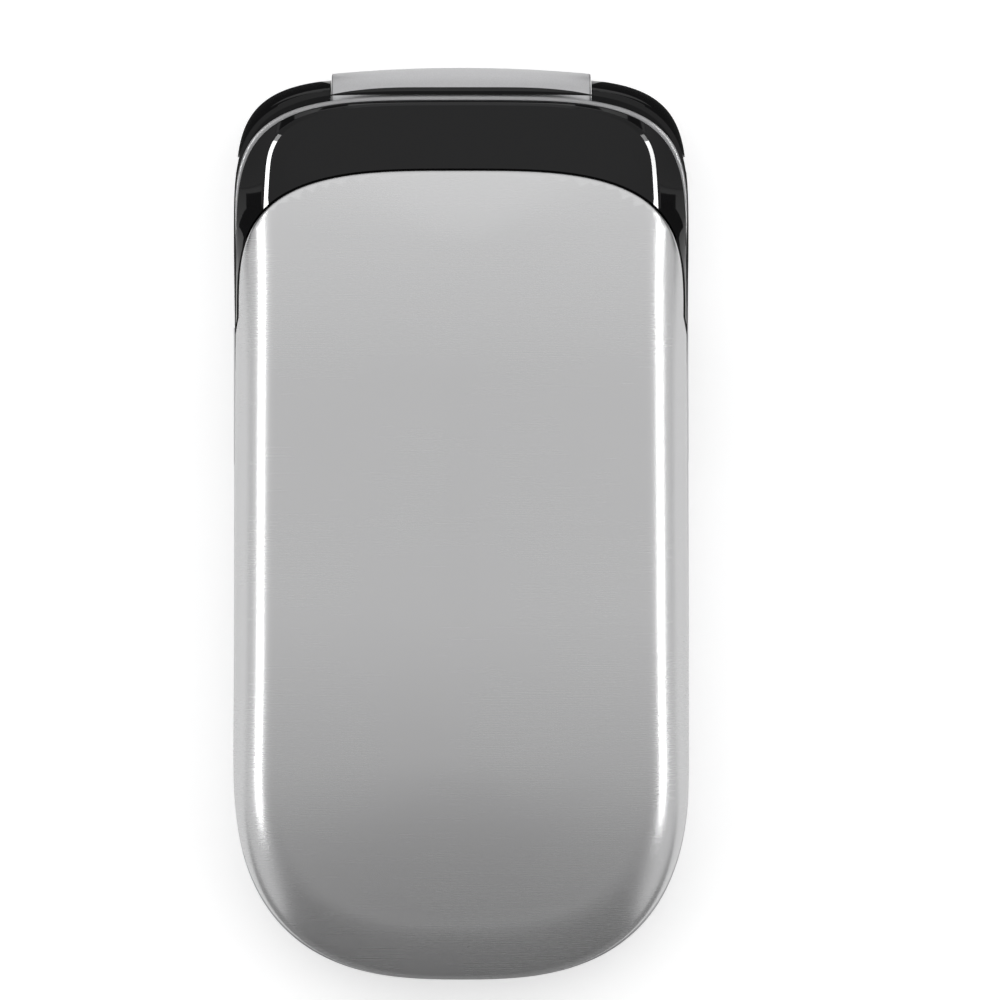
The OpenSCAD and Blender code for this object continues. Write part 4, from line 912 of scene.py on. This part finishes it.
def rocker_rooms():
    """A shallow scallop for the thumb, the rocker's slot and its room inside."""
    bow, depth, steps, reach = 60, 0.35, 60, 9.4
    scallop = [(-HALF_W - bow + depth + bow * math.cos(a), SIDE_Y + bow * math.sin(a))
               for a in [math.radians(-9 + 18 * k / steps) for k in range(steps + 1)]]
    scallop += [(-HALF_W - 6, SIDE_Y + reach), (-HALF_W - 6, SIDE_Y - reach)]
    return [prism(scallop, SIDE_Z - 1.8, SIDE_Z + 1.8), beside(1.3, 4, 14.4, -HALF_W),
            beside(1.8, 1.9, 16, -HALF_W + 2.1)]


def rear_case():
    """The base under the line, with rooms for hinge, battery, card, loudspeaker and controls."""
    past = case_line(-1)
    under_line = tower((past, -1), (past, CASE_LINE - 1 - CASE_GROOVE), (case_line(CASE_GROOVE), CASE_LINE))
    barrel_room = carve(barrel(SEAT_GAP), ("keep", block(2 * (BARREL_X + SEAT_GAP), 12, 0, 20, 0, HINGE_Y)))
    tray = prism(below(plan(base_ends(CASE_WALL)), TRAY_TOP_Y), TRAY_Z, 12)
    low_pocket = carve(prism(below(plan(base_ends(2.8)), -23.6), 1.6, 12),
                       *cut(*[post(2, x, y, 0, TRAY_Z) for x, y in BASE_POSTS[:2]]))
    bay, card_window = block(31.6, 44.4, -1, BAY_TOP_Z), block(16.2, 42, BAY_TOP_Z - 1, 12, 0, 0.2)
    high_pocket = block(30.8, 6.6, 2.2, 12, 0, SPEAKER[1])
    contacts_room = block(9, 3, 1.7, BAY_TOP_Z, 0, 22.2)
    screws = [post(r, x, y, z0, z1) for r, z0, z1 in ((1.3, -1, 1.4), (0.65, 0, 12)) for x, y in BASE_POSTS]
    slots = [prism(round_rect(0.8, 4, 0.39, SPEAKER[0] + 2 * k, SPEAKER[1]), -1, 3.2) for k in range(-2, 3)]
    socket_rooms = [beside(1.35, 9.3, 10.1, HALF_W), beside(2.15, 4, 13.8, 24.0, SIDE_Y - 0.2)]
    return carve(base_half(), ("keep", under_line), *cut(
        *ear_rooms(), barrel_room, tray, cover_recess(), bay, card_window, low_pocket, high_pocket,
        *screws, *slots, *rocker_rooms(), *socket_rooms, contacts_room))


dress(shade(rear_case()), "rear_case", silver_case)

# %% [markdown]
# ## Softened copies of CAD pieces
# Small moulded and stamped pieces have the right shape already, but their edges are perfectly sharp, and
# no real edge is. A copy of the CAD mesh is cleaned, its flat faces are joined again, and a narrow bevel
# is put on every sharp edge, which is what makes a small piece look real when the light runs along it.

# %% The helper that softens a CAD piece
def soften(node, width=0.12, segments=2):
    obj = new_object(node + "_soft", frame["nodes"][node].data.copy())
    with opened(obj.data) as work:
        bmesh.ops.remove_doubles(work, verts=work.verts, dist=1e-6)
        bmesh.ops.dissolve_limit(work, angle_limit=math.radians(1), verts=work.verts, edges=work.edges)
    bevel = obj.modifiers.new("bevel", "BEVEL")
    bevel.width, bevel.segments = width * MM, segments
    bevel.limit_method, bevel.angle_limit = "ANGLE", math.radians(25)
    return shade(settle(obj), 12)


print("pieces in the CAD frame:", len(frame["nodes"]))

# %% [markdown]
# ## Keys
# A key is a small moulded cap on a rubber pin: a lip under the face keeps it in, its edge is rounded and
# its top is a low pillow. All of the keys are the same rule with other sizes, so one tree makes them. The
# sign on each is a thin layer of lacquer. The numbers come from Geometry Nodes as well, which turn a text
# into curves, fill them and give them a thickness; the call signs and arrows are short outlines.

# %% The key cap's tree
def key_tree():
    tree, given = new_tree("key cap", width=10.6, length=7.4, corner=1.6, x=0, y=0)
    steps, edge_rows, top_rows, edge, pillow = 8, 5, 8, 0.28, 0.1
    pin, lip = 2.4, 0.45    # the pin's width, and how thick the lip is

    def place(column, row):
        side = floor((column + 0.5) / (steps + 1))
        turn = RIGHT_ANGLE * (side + (column - side * (steps + 1)) / steps)
        facing = RIGHT_ANGLE * (side + 0.5)
        cap = above(row, 4.5)
        t = RIGHT_ANGLE * clamp((row - 6) / edge_rows)
        s = clamp(row) * (1 - clamp((row - 6 - edge_rows) / top_rows))
        more = 1 - cap - 2 * edge * (1 - cos(t))
        wide, long = [mix(pin, given[way] + more, above(row, 2.5)) for way in ("width", "length")]
        corner = mix(pin / 2, given["corner"] + more / 2, above(row, 2.5))
        x = given["x"] + s * (sign(cos(facing)) * (wide / 2 - corner) + corner * cos(turn))
        y = given["y"] + s * (sign(sin(facing)) * (long / 2 - corner) + corner * sin(turn))
        z = mix(PIN_Z, LIP_Z, above(row, 1.5)) + lip * above(row, 3.5)
        z = z + (KEY_Z - pillow - edge - LIP_Z - lip) * above(row, 5.5) + edge * sin(t)
        return x, y, z + pillow * (1 - s * s) * above(row, 6.5 + edge_rows)

    return bend_grid(tree, given, 4 * (steps + 1) + 1, 7 + edge_rows + top_rows, place)


def sign_tree():
    """A text, filled and given a thickness, standing on z = 0."""
    tree, given = new_tree("sign", [("text", "NodeSocketString")], height=3.2, thickness=0.1)
    letters = add_node(tree, "GeometryNodeStringToCurves", {"align_x": "CENTER", "align_y": "MIDDLE"},
                       String=given["text"], Size=given["height"] * MM)
    curves = add_node(tree, "GeometryNodeRealizeInstances", Geometry=letters.outputs[0])
    face = add_node(tree, "GeometryNodeFillCurve", Curve=curves.outputs[0]).outputs[0]
    up = add_node(tree, "ShaderNodeCombineXYZ", Z=1.0).outputs[0]
    raised = add_node(tree, "GeometryNodeExtrudeMesh", Mesh=face, Offset=up,
                      Offset_Scale=given["thickness"] * MM, Individual=False)
    under = add_node(tree, "GeometryNodeFlipFaces", Mesh=face)
    both = tree.nodes.new("GeometryNodeJoinGeometry")
    tree.links.new(raised.outputs[0], both.inputs[0])
    tree.links.new(under.outputs[0], both.inputs[0])
    closed = add_node(tree, "GeometryNodeMergeByDistance", Geometry=both.outputs[0], Distance=1e-7)
    return close_tree(tree, given, closed.outputs[0])


KEY_CAP, SIGN = key_tree(), sign_tree()
key_silver = finish("key silver", (0.60, 0.60, 0.61), 0.75, 0.33, 8000, 0.05, 0.04, 0.0015, mottle=300,
                    mottle_share=0.03)
sign_grey = finish("sign lacquer", (0.03, 0.032, 0.04), 0.0, 0.35, 6000, 0.15, 0.05, 0.001)
call_green = finish("call green", (0.02, 0.30, 0.06), 0.0, 0.3, 6000, 0.1, 0.05, 0.001)
call_red = finish("call red", (0.45, 0.015, 0.012), 0.0, 0.3, 6000, 0.1, 0.05, 0.001)
print("key trees:", KEY_CAP.name, "and", SIGN.name)

# %% Signs that are short outlines
SIGN_Z = 9.86    # just under the top of a key's face


def low_plate(outline, z0=SIGN_Z, z1=10.03):
    return prism(outline, z0, z1)


def handset(x, y, turn):
    """A telephone handset: a bowed bar, thicker at its ends."""
    bow, thin, fuller, steps, rise = 1.75, 0.26, 0.34, 32, 1.2
    outer, inner = [], []
    for k in range(steps + 1):
        a = math.radians(mix(205, 335, k / steps))
        end = max(0.0, abs(2 * k / steps - 1) - 0.62) / 0.38
        half = thin + fuller * min(1.0, 2.2 * end)
        for line, r in ((outer, bow + thin), (inner, bow + thin - 2 * half)):
            line.append((r * math.cos(a), r * math.sin(a) + rise))
    c, s = math.cos(turn), math.sin(turn)
    return low_plate([(x + px * c - py * s, y + px * s + py * c) for px, py in outer + inner[::-1]])


def arrow(x, y, turn, r=0.75):
    """A small triangle that points along its turn."""
    return low_plate([(x + r * math.cos(turn + a), y + r * math.sin(turn + a)) for a in (0, 2.3, -2.3)])


def key_sign(node, x, y):
    """What is printed on a key, as a loose mesh on top of it."""
    if node.startswith("key_"):
        text = {"star": "*", "hash": "#"}.get(node[4:], node[4:])
        mark = grow("sign", SIGN, sign_grey, text=text, height=3.8, thickness=0.17)
        mark = moved(mark, x, y - (0.9 if text == "*" else 0), SIGN_Z)    # a star sits high in its line
        if text == "5":    # the rib that a finger finds
            mark = join(mark, low_plate(round_rect(1.4, 0.34, 0.16, x, y - 2.6), 9.8, 10.08))
        return mark, sign_grey
    if node == "send_key":
        return handset(x, y, math.radians(-35)), call_green
    if node == "end_key":
        return handset(x, y, math.radians(180)), call_red
    if node == "clear_key":
        return arrow(x, y, math.pi, 0.9), sign_grey
    return low_plate(round_rect(2.6, 0.5, 0.24, x, y)), sign_grey


print("signs: numbers, handsets, arrows and bars")

# %% The keys
for node, (wide, long, x, y) in KEY_PLACES.items():
    cap = shade(grow(node + "_cap", KEY_CAP, key_silver, width=wide, length=long, x=x, y=y), 40)
    mark, ink = key_sign(node, x, y)
    dress(join(cap, finished(mark, ink)), node)

# %% [markdown]
# ## Navigation ring and select key
# The ring is a rounded frame that tilts under the thumb, with a round key in its middle. Its section runs
# from the round hole over a soft top to the rounded outline, so it is made as rings of points that change
# from a circle to a rounded rectangle. Four small arrows show the directions.

# %% The ring and the key in it
CORNER_STEPS, RING_CORNER, RING_HOLE = 9, 4.85, 3.75
EDGE_Z = 9.45    # where the ring's edge starts to roll in


def ring_points(w, l, r, z):
    """Points all the way round a rounded rectangle, corner by corner."""
    return [(px, py, z) for px, py in round_rect(w, l, r, 0, NAV_Y, CORNER_STEPS)]


def ring_body():
    """Its section, from the flange up the outside, over the top and down the round hole."""
    wide, long = NAV_SIZE
    rings = [ring_points(wide + 2 * out, long + 2 * out, RING_CORNER + out, z)
             for z, out in ((LIP_Z, 0.5), (8.4, 0.5), (8.4, 0.0), (EDGE_Z, 0.0))]
    roll = 0.55
    for s, c in quarter(6, 1):    # the outer edge rolls in
        d = roll * (1 - c)
        rings.append(ring_points(wide - 2 * d, long - 2 * d, RING_CORNER - d, EDGE_Z + roll * s))
    for share in [k / 7 for k in range(1, 7)]:    # a shallow hollow towards the hole
        rings.append(ring_points(mix(16.9, 8.3, share), mix(13.9, 8.3, share), mix(4.3, 4.149, share),
                                 KEY_Z - 0.22 * share * share))
    for r, z in ((RING_HOLE + 0.15, 9.72), (RING_HOLE, 9.6), (RING_HOLE, 9.0), (4.25, 9.0), (4.25, LIP_Z)):
        rings.append(ring_points(2 * r, 2 * r, r - 0.001, z))
    return solid("nav_ring", rings, closed=True)


pins = [post(1.2, x, NAV_Y + y, PIN_Z, 8.3, 24) for x, y in ((6.8, 0), (-6.8, 0), (0, 5.4), (0, -5.4))]
ring = carve(ring_body(), *[("add", pin) for pin in pins])
shade(finished(ring, key_silver), 40)
arrows = [arrow(x, NAV_Y + y, turn) for x, y, turn in ((6.6, 0, 0), (-6.6, 0, math.pi), (0, 5.6, RIGHT_ANGLE),
                                                      (0, -5.6, -RIGHT_ANGLE))]
dress(join(ring, *[finished(part, sign_grey) for part in arrows]), "nav_ring")


def select_key():
    """A round key, slightly dished, with its flange and pin."""
    radius, edge_z, edge, dish = 3.6, 9.72, 0.28, 0.18
    turned = [(0, PIN_Z), (1.2, PIN_Z), (1.2, LIP_Z), (4.1, LIP_Z),
              (4.1, 8.55), (radius, 8.55), (radius, edge_z)]
    turned += [(radius - edge * (1 - c), edge_z + edge * s) for s, c in quarter(5, 1)]
    turned += [((radius - edge) * (1 - k / 8) + 0.001, KEY_Z - dish * (1 - (1 - k / 8) ** 2))
               for k in range(1, 9)]
    return turned_about_z("select", turned, 64, NAV_Y)


dress(shade(select_key(), 40), "select_key", key_silver)

# %% [markdown]
# ## Repeats on points
# Screws, bumpers, grip grooves and sound holes are each one small thing in many places. A tree puts a copy
# of one piece on every point of a mesh, so the list of places stays a list of points.

# %% The tree that repeats a piece
def repeat_tree():
    tree, given = new_tree("repeat", [("places", "NodeSocketGeometry"), ("piece", "NodeSocketObject")])
    piece = add_node(tree, "GeometryNodeObjectInfo", As_Instance=True)
    tree.links.new(given["piece"].socket, piece.inputs["Object"])
    copies = add_node(tree, "GeometryNodeInstanceOnPoints", Points=given["places"],
                      Instance=piece.outputs["Geometry"])
    return close_tree(tree, given, copies.outputs[0])


REPEAT = repeat_tree()


def repeat(piece, places, material=None):
    """Copies of a loose piece at places in millimetres; the piece is used up."""
    points = bpy.data.meshes.new("places")
    points.from_pydata([tuple(v * MM for v in place) for place in places], [], [])
    made = grow("repeated", REPEAT, material, start=points, piece=piece)
    bpy.data.objects.remove(piece)
    return made


print("repeats are ready")

# %% [markdown]
# ## Display side of the lid
# Inside the lid a thin black bezel holds the window. The window is a clear plate with a black border
# printed under it, so only the picture area shows the dark panel. Above it a slot with fine holes lets
# the earpiece speak. Small rubber bumpers cover the screws and keep the closed halves apart.

# %% Bezel and window
dress(soften("inner_bezel", 0.12), "inner_bezel", soft_black)


WINDOW_W, WINDOW_L, WINDOW_Y = 15.2, 20.0, -5.0    # half the clear area's width and length, and its middle


def window_finish():
    """Clear in the middle, black lacquer round the border."""
    material = finish("window", (0.9, 0.92, 0.94), 0.0, 0.03, 900, 0.01, 0.01, 0.0002, IOR=1.45)
    x, y = place_on(material)
    clear = (1 - above(size(x), WINDOW_W)) * (1 - above(size(y - WINDOW_Y), WINDOW_L))
    return print_over(material, clear, (0.008, 0.008, 0.009), (0.92, 0.94, 0.96), "Transmission Weight")


dress(soften("display_window", 0.1), "display_window", window_finish())

# %% Sound holes of the earpiece
EARPIECE_Y = -35.8
grille = prism(round_rect(8.9, 1.5, 0.7, 0, EARPIECE_Y), 10.6, 11.3)
holes = [(0.5 * (k + 0.5 * (row % 2)) - 4.0, EARPIECE_Y + 0.42 * (row - 1), 11.0)
         for row in range(3) for k in range(17)]
drilled = carve(
    grille, *cut(repeat(turned_about_z("hole", [(0, -1), (0.14, -1), (0.14, 1), (0, 1)], 8), holes)))
steel = finish("bright steel", (0.55, 0.56, 0.58), 1.0, 0.28, (300, 8000, 300), 0.05, 0.06, 0.001, mottle=200)
dark_steel = finish("dark steel", (0.16, 0.165, 0.17), 1.0, 0.35, 6000, 0.06, 0.06, 0.001)
dress(shade(drilled), "earpiece_mesh", dark_steel)

# %% Bumpers over the lid's screws
rubber = finish("black rubber", (0.022, 0.022, 0.024), 0.0, 0.62, 4000, 0.2, 0.1, 0.006, mottle=400)
DOME_Z, DOME_EDGE = 9.85, 0.25
rounded = [(0.85 + DOME_EDGE * s, DOME_Z + DOME_EDGE * (1 - c)) for s, c in quarter(6)]
dome = turned_about_z("bumper", [(0, DOME_Z), *rounded, (1.1, 10.3), (0, 10.3)])
bumpers = repeat(dome, [(x, y, 0) for x, y in LID_POSTS], rubber)
dress(shade(bumpers, 50), "lid_bumpers", rubber)

# %% [markdown]
# ## Back of the phone
# The battery cover is a thin silver plate let into the back, with a few grooves that the thumb slides it
# by. Its edge is rounded. The screws beside it have pan heads with a cross recess.

# %% Battery cover
def battery_cover():
    """The plate with a rounded lower edge and grip grooves."""
    edge, lowest, top = 0.25, 0.1, 1.0

    def plate(outline):
        rounded = [(outline(-edge * (1 - s)), lowest + edge * (1 - c)) for s, c in quarter(4)]
        return tower(*rounded, (outline(0), top))
    outside = plate(lambda more: plan(base_ends(PLATE_INSET - more)))
    square = plate(lambda more: round_rect(2 * (PLATE_W + more), 2 * HALF_L, PLATE_CORNER + more, 0,
                                           PLATE_TOP - HALF_L, 12))
    half = [(6, 0.3), (6.2, 0.2), (6.3, 0.05)]
    rib = bar([(-x, r) for x, r in half[::-1]] + half, 0, 0, 24)
    return carve(outside, ("keep", square),
                 *cut(repeat(rib, [(0, 19.4 - 1.6 * k, lowest) for k in range(5)])))


dress(shade(battery_cover()), "battery_cover", silver_case)

# %% Screws of the base
def pan_head_screw():
    """A low pan head that points down, with a cross recess, on its shank."""
    head, rise, shank = 1.1, 0.28, 0.575
    profile = [(0, 0.8)] + [(head * s, 1.08 - rise * c) for s, c in quarter(6, 1)]
    body = turned_about_z("screw", profile + [(head, 1.35), (shank, 1.35), (shank, 8.4), (0, 8.4)], 40)
    return carve(body, *cut(block(1.3, 0.28, 0.4, 1.12), block(0.28, 1.3, 0.4, 1.12)))


screws = repeat(pan_head_screw(), [(x, y, 0) for x, y in BASE_POSTS], steel)
dress(shade(screws), "base_screws", steel)

# %% [markdown]
# ## Side controls
# The volume rocker is a slim bar with a soft edge and a small rib at each end. The port's cover is a
# rubber flap with a plug on its back, which swings on its tether. It is trimmed flush with the case's
# side and has three grooves for a fingernail.

# %% Rocker and port cover
def rocker():
    body = soften("volume_rocker", 0.25, 3)
    return carve(body, *[("add", block(0.3, 0.3, 4.0, 5.2, -22.9, SIDE_Y + end)) for end in (5, -5)])


def flap():
    body = soften("port_cover", 0.22, 3)
    grips = [block(0.5, 0.28, 3.5, 5.7, 22.95, 16.9 + 0.7 * k) for k in range(3)]
    return carve(body, ("keep", grow("flap_limit", BASE_FORM)), *cut(*grips))


grey_rubber = finish("grey rubber", (0.40, 0.405, 0.41), 0.0, 0.6, 5000, 0.12, 0.08, 0.005, mottle=300)
dress(shade(rocker(), 40), "volume_rocker", silver_case)
dress(shade(flap(), 40), "port_cover", grey_rubber)
dress(soften("charging_socket", 0.12), "charging_socket", steel)

# %% [markdown]
# ## Pieces that show when the phone is open or taken apart
# These keep their CAD shape. The ones with visible edges are softened; the rest only get a finish.

# %% Finishes for the inner pieces
def card_finish():
    """A white card with a gold contact pad of eight fields on its underside."""
    white, pad_y, half_w, half_l = (0.80, 0.79, 0.75), 11.5, 5.0, 4.6
    material = finish("card", white, 0.0, 0.42, 5000, 0.03, 0.05, 0.001)
    x, y = place_on(material)
    y = y - pad_y
    pad = (1 - above(size(x), half_w)) * (1 - above(size(y), half_l))
    lines = greater(1 - above(size(size(x) - 2.0), 0.14),
                    1 - above(size(sin(y * (math.pi / (half_l / 2)))), 0.12))
    return print_over(material, pad * (1 - lines), white, (0.83, 0.58, 0.22), "Metallic")


def board_finish():
    """Green lacquer over copper tracks, which show as slightly lighter lines."""
    material = finish("green board", (0.012, 0.115, 0.04), 0.0, 0.3, 4000, 0.1, 0.05, 0.002)
    tree = material.node_tree
    cells = add_node(tree, "ShaderNodeTexVoronoi", {"feature": "DISTANCE_TO_EDGE", "distance": "EUCLIDEAN"},
                     Vector=tree.nodes["Texture Coordinate"].outputs["Object"], Scale=700.0, Randomness=0.3)
    track = 1 - above(Field(tree, cells.outputs["Distance"]), 0.09)
    return print_over(material, track, (0.010, 0.10, 0.035), (0.03, 0.20, 0.07))


light_plastic = finish("light plastic", (0.70, 0.70, 0.67), 0.0, 0.45, 4000, 0.04, 0.05, 0.002)
dark_panel = finish("dark panel", (0.012, 0.014, 0.018), 0.0, 0.12, (12000, 12000, 100), 0.25, 0.02, 0.0003,
                    mottle=30)
amber_film = finish("amber film", (0.42, 0.19, 0.04), 0.0, 0.28, (200, 9000, 200), 0.12, 0.05, 0.001)
battery_wrap = finish("battery wrap", (0.035, 0.038, 0.042), 0.0, 0.34, (800, 3000, 800), 0.12, 0.06, 0.002)
gold = finish("gold plate", (0.80, 0.56, 0.20), 1.0, 0.22, 5000, 0.05, 0.05, 0.0008)
green_board, white_card = board_finish(), card_finish()
black_plastic = finish("black plastic", (0.02, 0.02, 0.022), 0.0, 0.4, 4500, 0.15, 0.06, 0.003)
print("finishes:", len(FINISHES))

# %% Softened and finished inner pieces
for node, width, material in (("battery", 0.35, battery_wrap), ("sim_card", 0.06, white_card),
                              ("sim_holder", 0.03, steel), ("shield_cans", 0.15, steel),
                              ("loudspeaker", 0.2, black_plastic), ("display_module", 0.1, light_plastic),
                              ("earpiece", 0.2, steel), ("lid_magnet", 0.1, steel),
                              ("motor_weight", 0.08, dark_steel), ("battery_contacts", 0.05, gold),
                              ("antenna", 0.1, black_plastic)):
    dress(soften(node, width), node, material)

for node, material in (("display_panel", dark_panel), ("lid_board", green_board), ("main_board", green_board),
                       ("lid_screws", steel), ("hinge_shaft", steel), ("hinge_bush", steel),
                       ("hinge_cartridge", steel), ("hinge_spring", steel), ("hinge_flex", amber_film),
                       ("dome_sheet", light_plastic), ("microphone", steel), ("vibration_motor", steel)):
    for slot in frame["nodes"][node].material_slots:
        slot.material = material
    print(node, "keeps its CAD shape, in", material.name)

# %% [markdown]
# ## Studio
# A small silver and black object lives by what it reflects. It lies on a white floor under a pale sky,
# which gloss sees darker overhead, so that the black cap stays black. Soft lamps light it from above and
# from both sides. A bright strip at each side puts a line on the silver's rolled edge, and two glints,
# which shine on the black body alone, put the streak on the cap. Dark cards, which only reflections see,
# darken the ends.

# %% Camera
def aim(obj, target):
    obj.rotation_mode = "QUATERNION"
    obj.rotation_quaternion = (Vector(target) - obj.location).to_track_quat("-Z", "Y")


VIEW_X, VIEW_Y = 3.9, 2.48    # the view's middle
VIEW_W, VIEW_PLANE = 101.2, 6.0    # its width, and the height at which it is that wide
camera = bpy.data.objects.new("camera", bpy.data.cameras.new("camera"))
scene.collection.objects.link(camera)
camera.data.lens, camera.data.sensor_width = 300, 36
camera.location = (
    VIEW_X * MM, VIEW_Y * MM, (VIEW_PLANE + VIEW_W * camera.data.lens / camera.data.sensor_width) * MM)
camera.data.clip_start, camera.data.clip_end = 0.01, 20
scene.camera = camera
print("camera", round(camera.location.z, 3), "m above the floor")

# %% World and floor
def is_ray(tree, kind):
    """1 for this kind of ray, 0 for the others."""
    return Field(tree, tree.nodes.new("ShaderNodeLightPath").outputs["Is " + kind + " Ray"])


def seen_rays(tree):
    """1 for what the eye, a gloss or a glass looks at, 0 for what lights the object."""
    return greater(greater(is_ray(tree, "Camera"), is_ray(tree, "Glossy")), is_ray(tree, "Transmission"))


HORIZON, OVERHEAD, TOWARDS_HINGE = 0.72, 0.34, 1.3    # as gloss sees the sky: low, high, change along Y
SKY_LIGHT = 0.35    # what it gives as light


def sky():
    """White to the eye; to gloss pale at the horizon, darker overhead and brighter towards the hinge."""
    world = bpy.data.worlds.new("studio")
    world.use_nodes = True
    scene.world = world
    tree = world.node_tree
    way = add_node(tree, "ShaderNodeSeparateXYZ",
                   Vector=tree.nodes.new("ShaderNodeTexCoord").outputs["Generated"])
    along, height = Field(tree, way.outputs["Y"]), Field(tree, way.outputs["Z"])
    overhead = lesser(greater(HORIZON + along * TOWARDS_HINGE, OVERHEAD), 1.0)
    seen = mix(HORIZON, overhead, clamp((height - 0.35) / 0.45))
    strength = mix(mix(SKY_LIGHT, seen, seen_rays(tree)), 1.0, is_ray(tree, "Camera"))
    feed(tree, tree.nodes["Background"].inputs["Strength"], strength)
    tree.nodes["Background"].inputs["Color"].default_value = (1, 1, 1, 1)


def sheet(name, points):
    """A stage object of one face, with points in metres."""
    mesh = bpy.data.meshes.new(name)
    mesh.from_pydata(points, [], [(0, 1, 2, 3)])
    obj = new_object(name, mesh)
    return obj


def studio_floor():
    """White to the eye, and a little less bright to gloss."""
    half = 3.0
    obj = sheet("floor", [(-half, -half, 0), (half, -half, 0), (half, half, 0), (-half, half, 0)])
    material = bpy.data.materials.new("studio floor")
    material.use_nodes = True
    tree = material.node_tree
    shader = tree.nodes["Principled BSDF"]
    shader.inputs["Base Color"].default_value = (0.8, 0.8, 0.8, 1)
    shader.inputs["Roughness"].default_value = 0.9
    shader.inputs["Specular IOR Level"].default_value = 0.1
    shader.inputs["Emission Color"].default_value = (1, 1, 1, 1)
    feed(tree, shader.inputs["Emission Strength"], 0.22 * seen_rays(tree) + 0.18 * is_ray(tree, "Camera"))
    obj.data.materials.append(material)


sky()
studio_floor()
scene.view_settings.view_transform = "Standard"
print("sky and floor are set")

# %% Lamps and dark cards
def lamp(name, place, wide, long, watts, target=(0, 0, 0.01)):
    """A soft box; its light at the object is what its area and power give."""
    data = bpy.data.lights.new(name, "AREA")
    data.shape, data.size, data.size_y, data.energy = "RECTANGLE", wide, long, watts
    obj = bpy.data.objects.new(name, data)
    scene.collection.objects.link(obj)
    obj.location = place
    aim(obj, target)
    print(name, "shines at", round(watts / (math.pi * wide * long), 2), "W per m2 and steradian")
    return obj


def from_above(angle, distance, side):
    """A place in the X-Z plane, so many degrees from straight overhead."""
    return (side * distance * math.sin(math.radians(angle)), 0.0, distance * math.cos(math.radians(angle)))


lamp("top lamp", (0.0, 0.3, 0.85), 1.0, 0.7, 4.0, (0, 0, 0)).visible_glossy = False    # else a box in the cap
cap_only = bpy.data.collections.new("cap only")    # the glints are for black gloss; silver would be blown out
cap_only.objects.link(bpy.data.objects["lid_frame_piece"])
for side, angle in ((-1, 52), (1, 50)):
    soft = lamp("side lamp", from_above(angle + 2, 0.8, side), 1.4, 0.42, 1.6)
    soft.visible_glossy = False    # a gloss sees the sky there, which is a little darker
    lamp("bright strip", from_above(angle, 0.75, side), 0.45, 0.072, 1.22).visible_diffuse = False
    for name, distance, long, wide, watts in (("cap's bright glint", 0.74, 0.96, 0.085, 12.5),
                                              ("cap's long glint", 0.76, 1.3, 0.055, 3.0)):
        glint = lamp(name, from_above(angle, distance, side), long, wide, watts)
        glint.visible_diffuse = False
        glint.light_linking.receiver_collection = cap_only


def dark_card(name, points, tone):
    """A card that only reflections see: it darkens an end of the phone, as a dark room does."""
    card = sheet(name, points)
    card.data.materials.append(finish(name, (tone, tone, tone), 0.0, 0.8))
    card.visible_camera = card.visible_diffuse = card.visible_shadow = False


def floor_card(name, x0, x1, y0, y1, tone):
    """A dark card that lies just over the floor."""
    dark_card(name, [(x, y, 0.0005) for x, y in ((x0, y0), (x1, y0), (x1, y1), (x0, y1))], tone)


dark_card("low_card", [(x, -0.35, z) for x, z in ((-0.3, 0.0), (0.3, 0.0), (0.3, 0.5), (-0.3, 0.5))], 0.22)
floor_card("low_floor_card", -0.25, 0.25, -0.35, -0.05, 0.3)
for side in (-1, 1):
    floor_card("near_card", side * 0.0145, side * 0.045, 0.037, 0.075, 0.02)
    floor_card("far_card", side * 0.045, side * 0.25, 0.03, 0.25, 0.02)
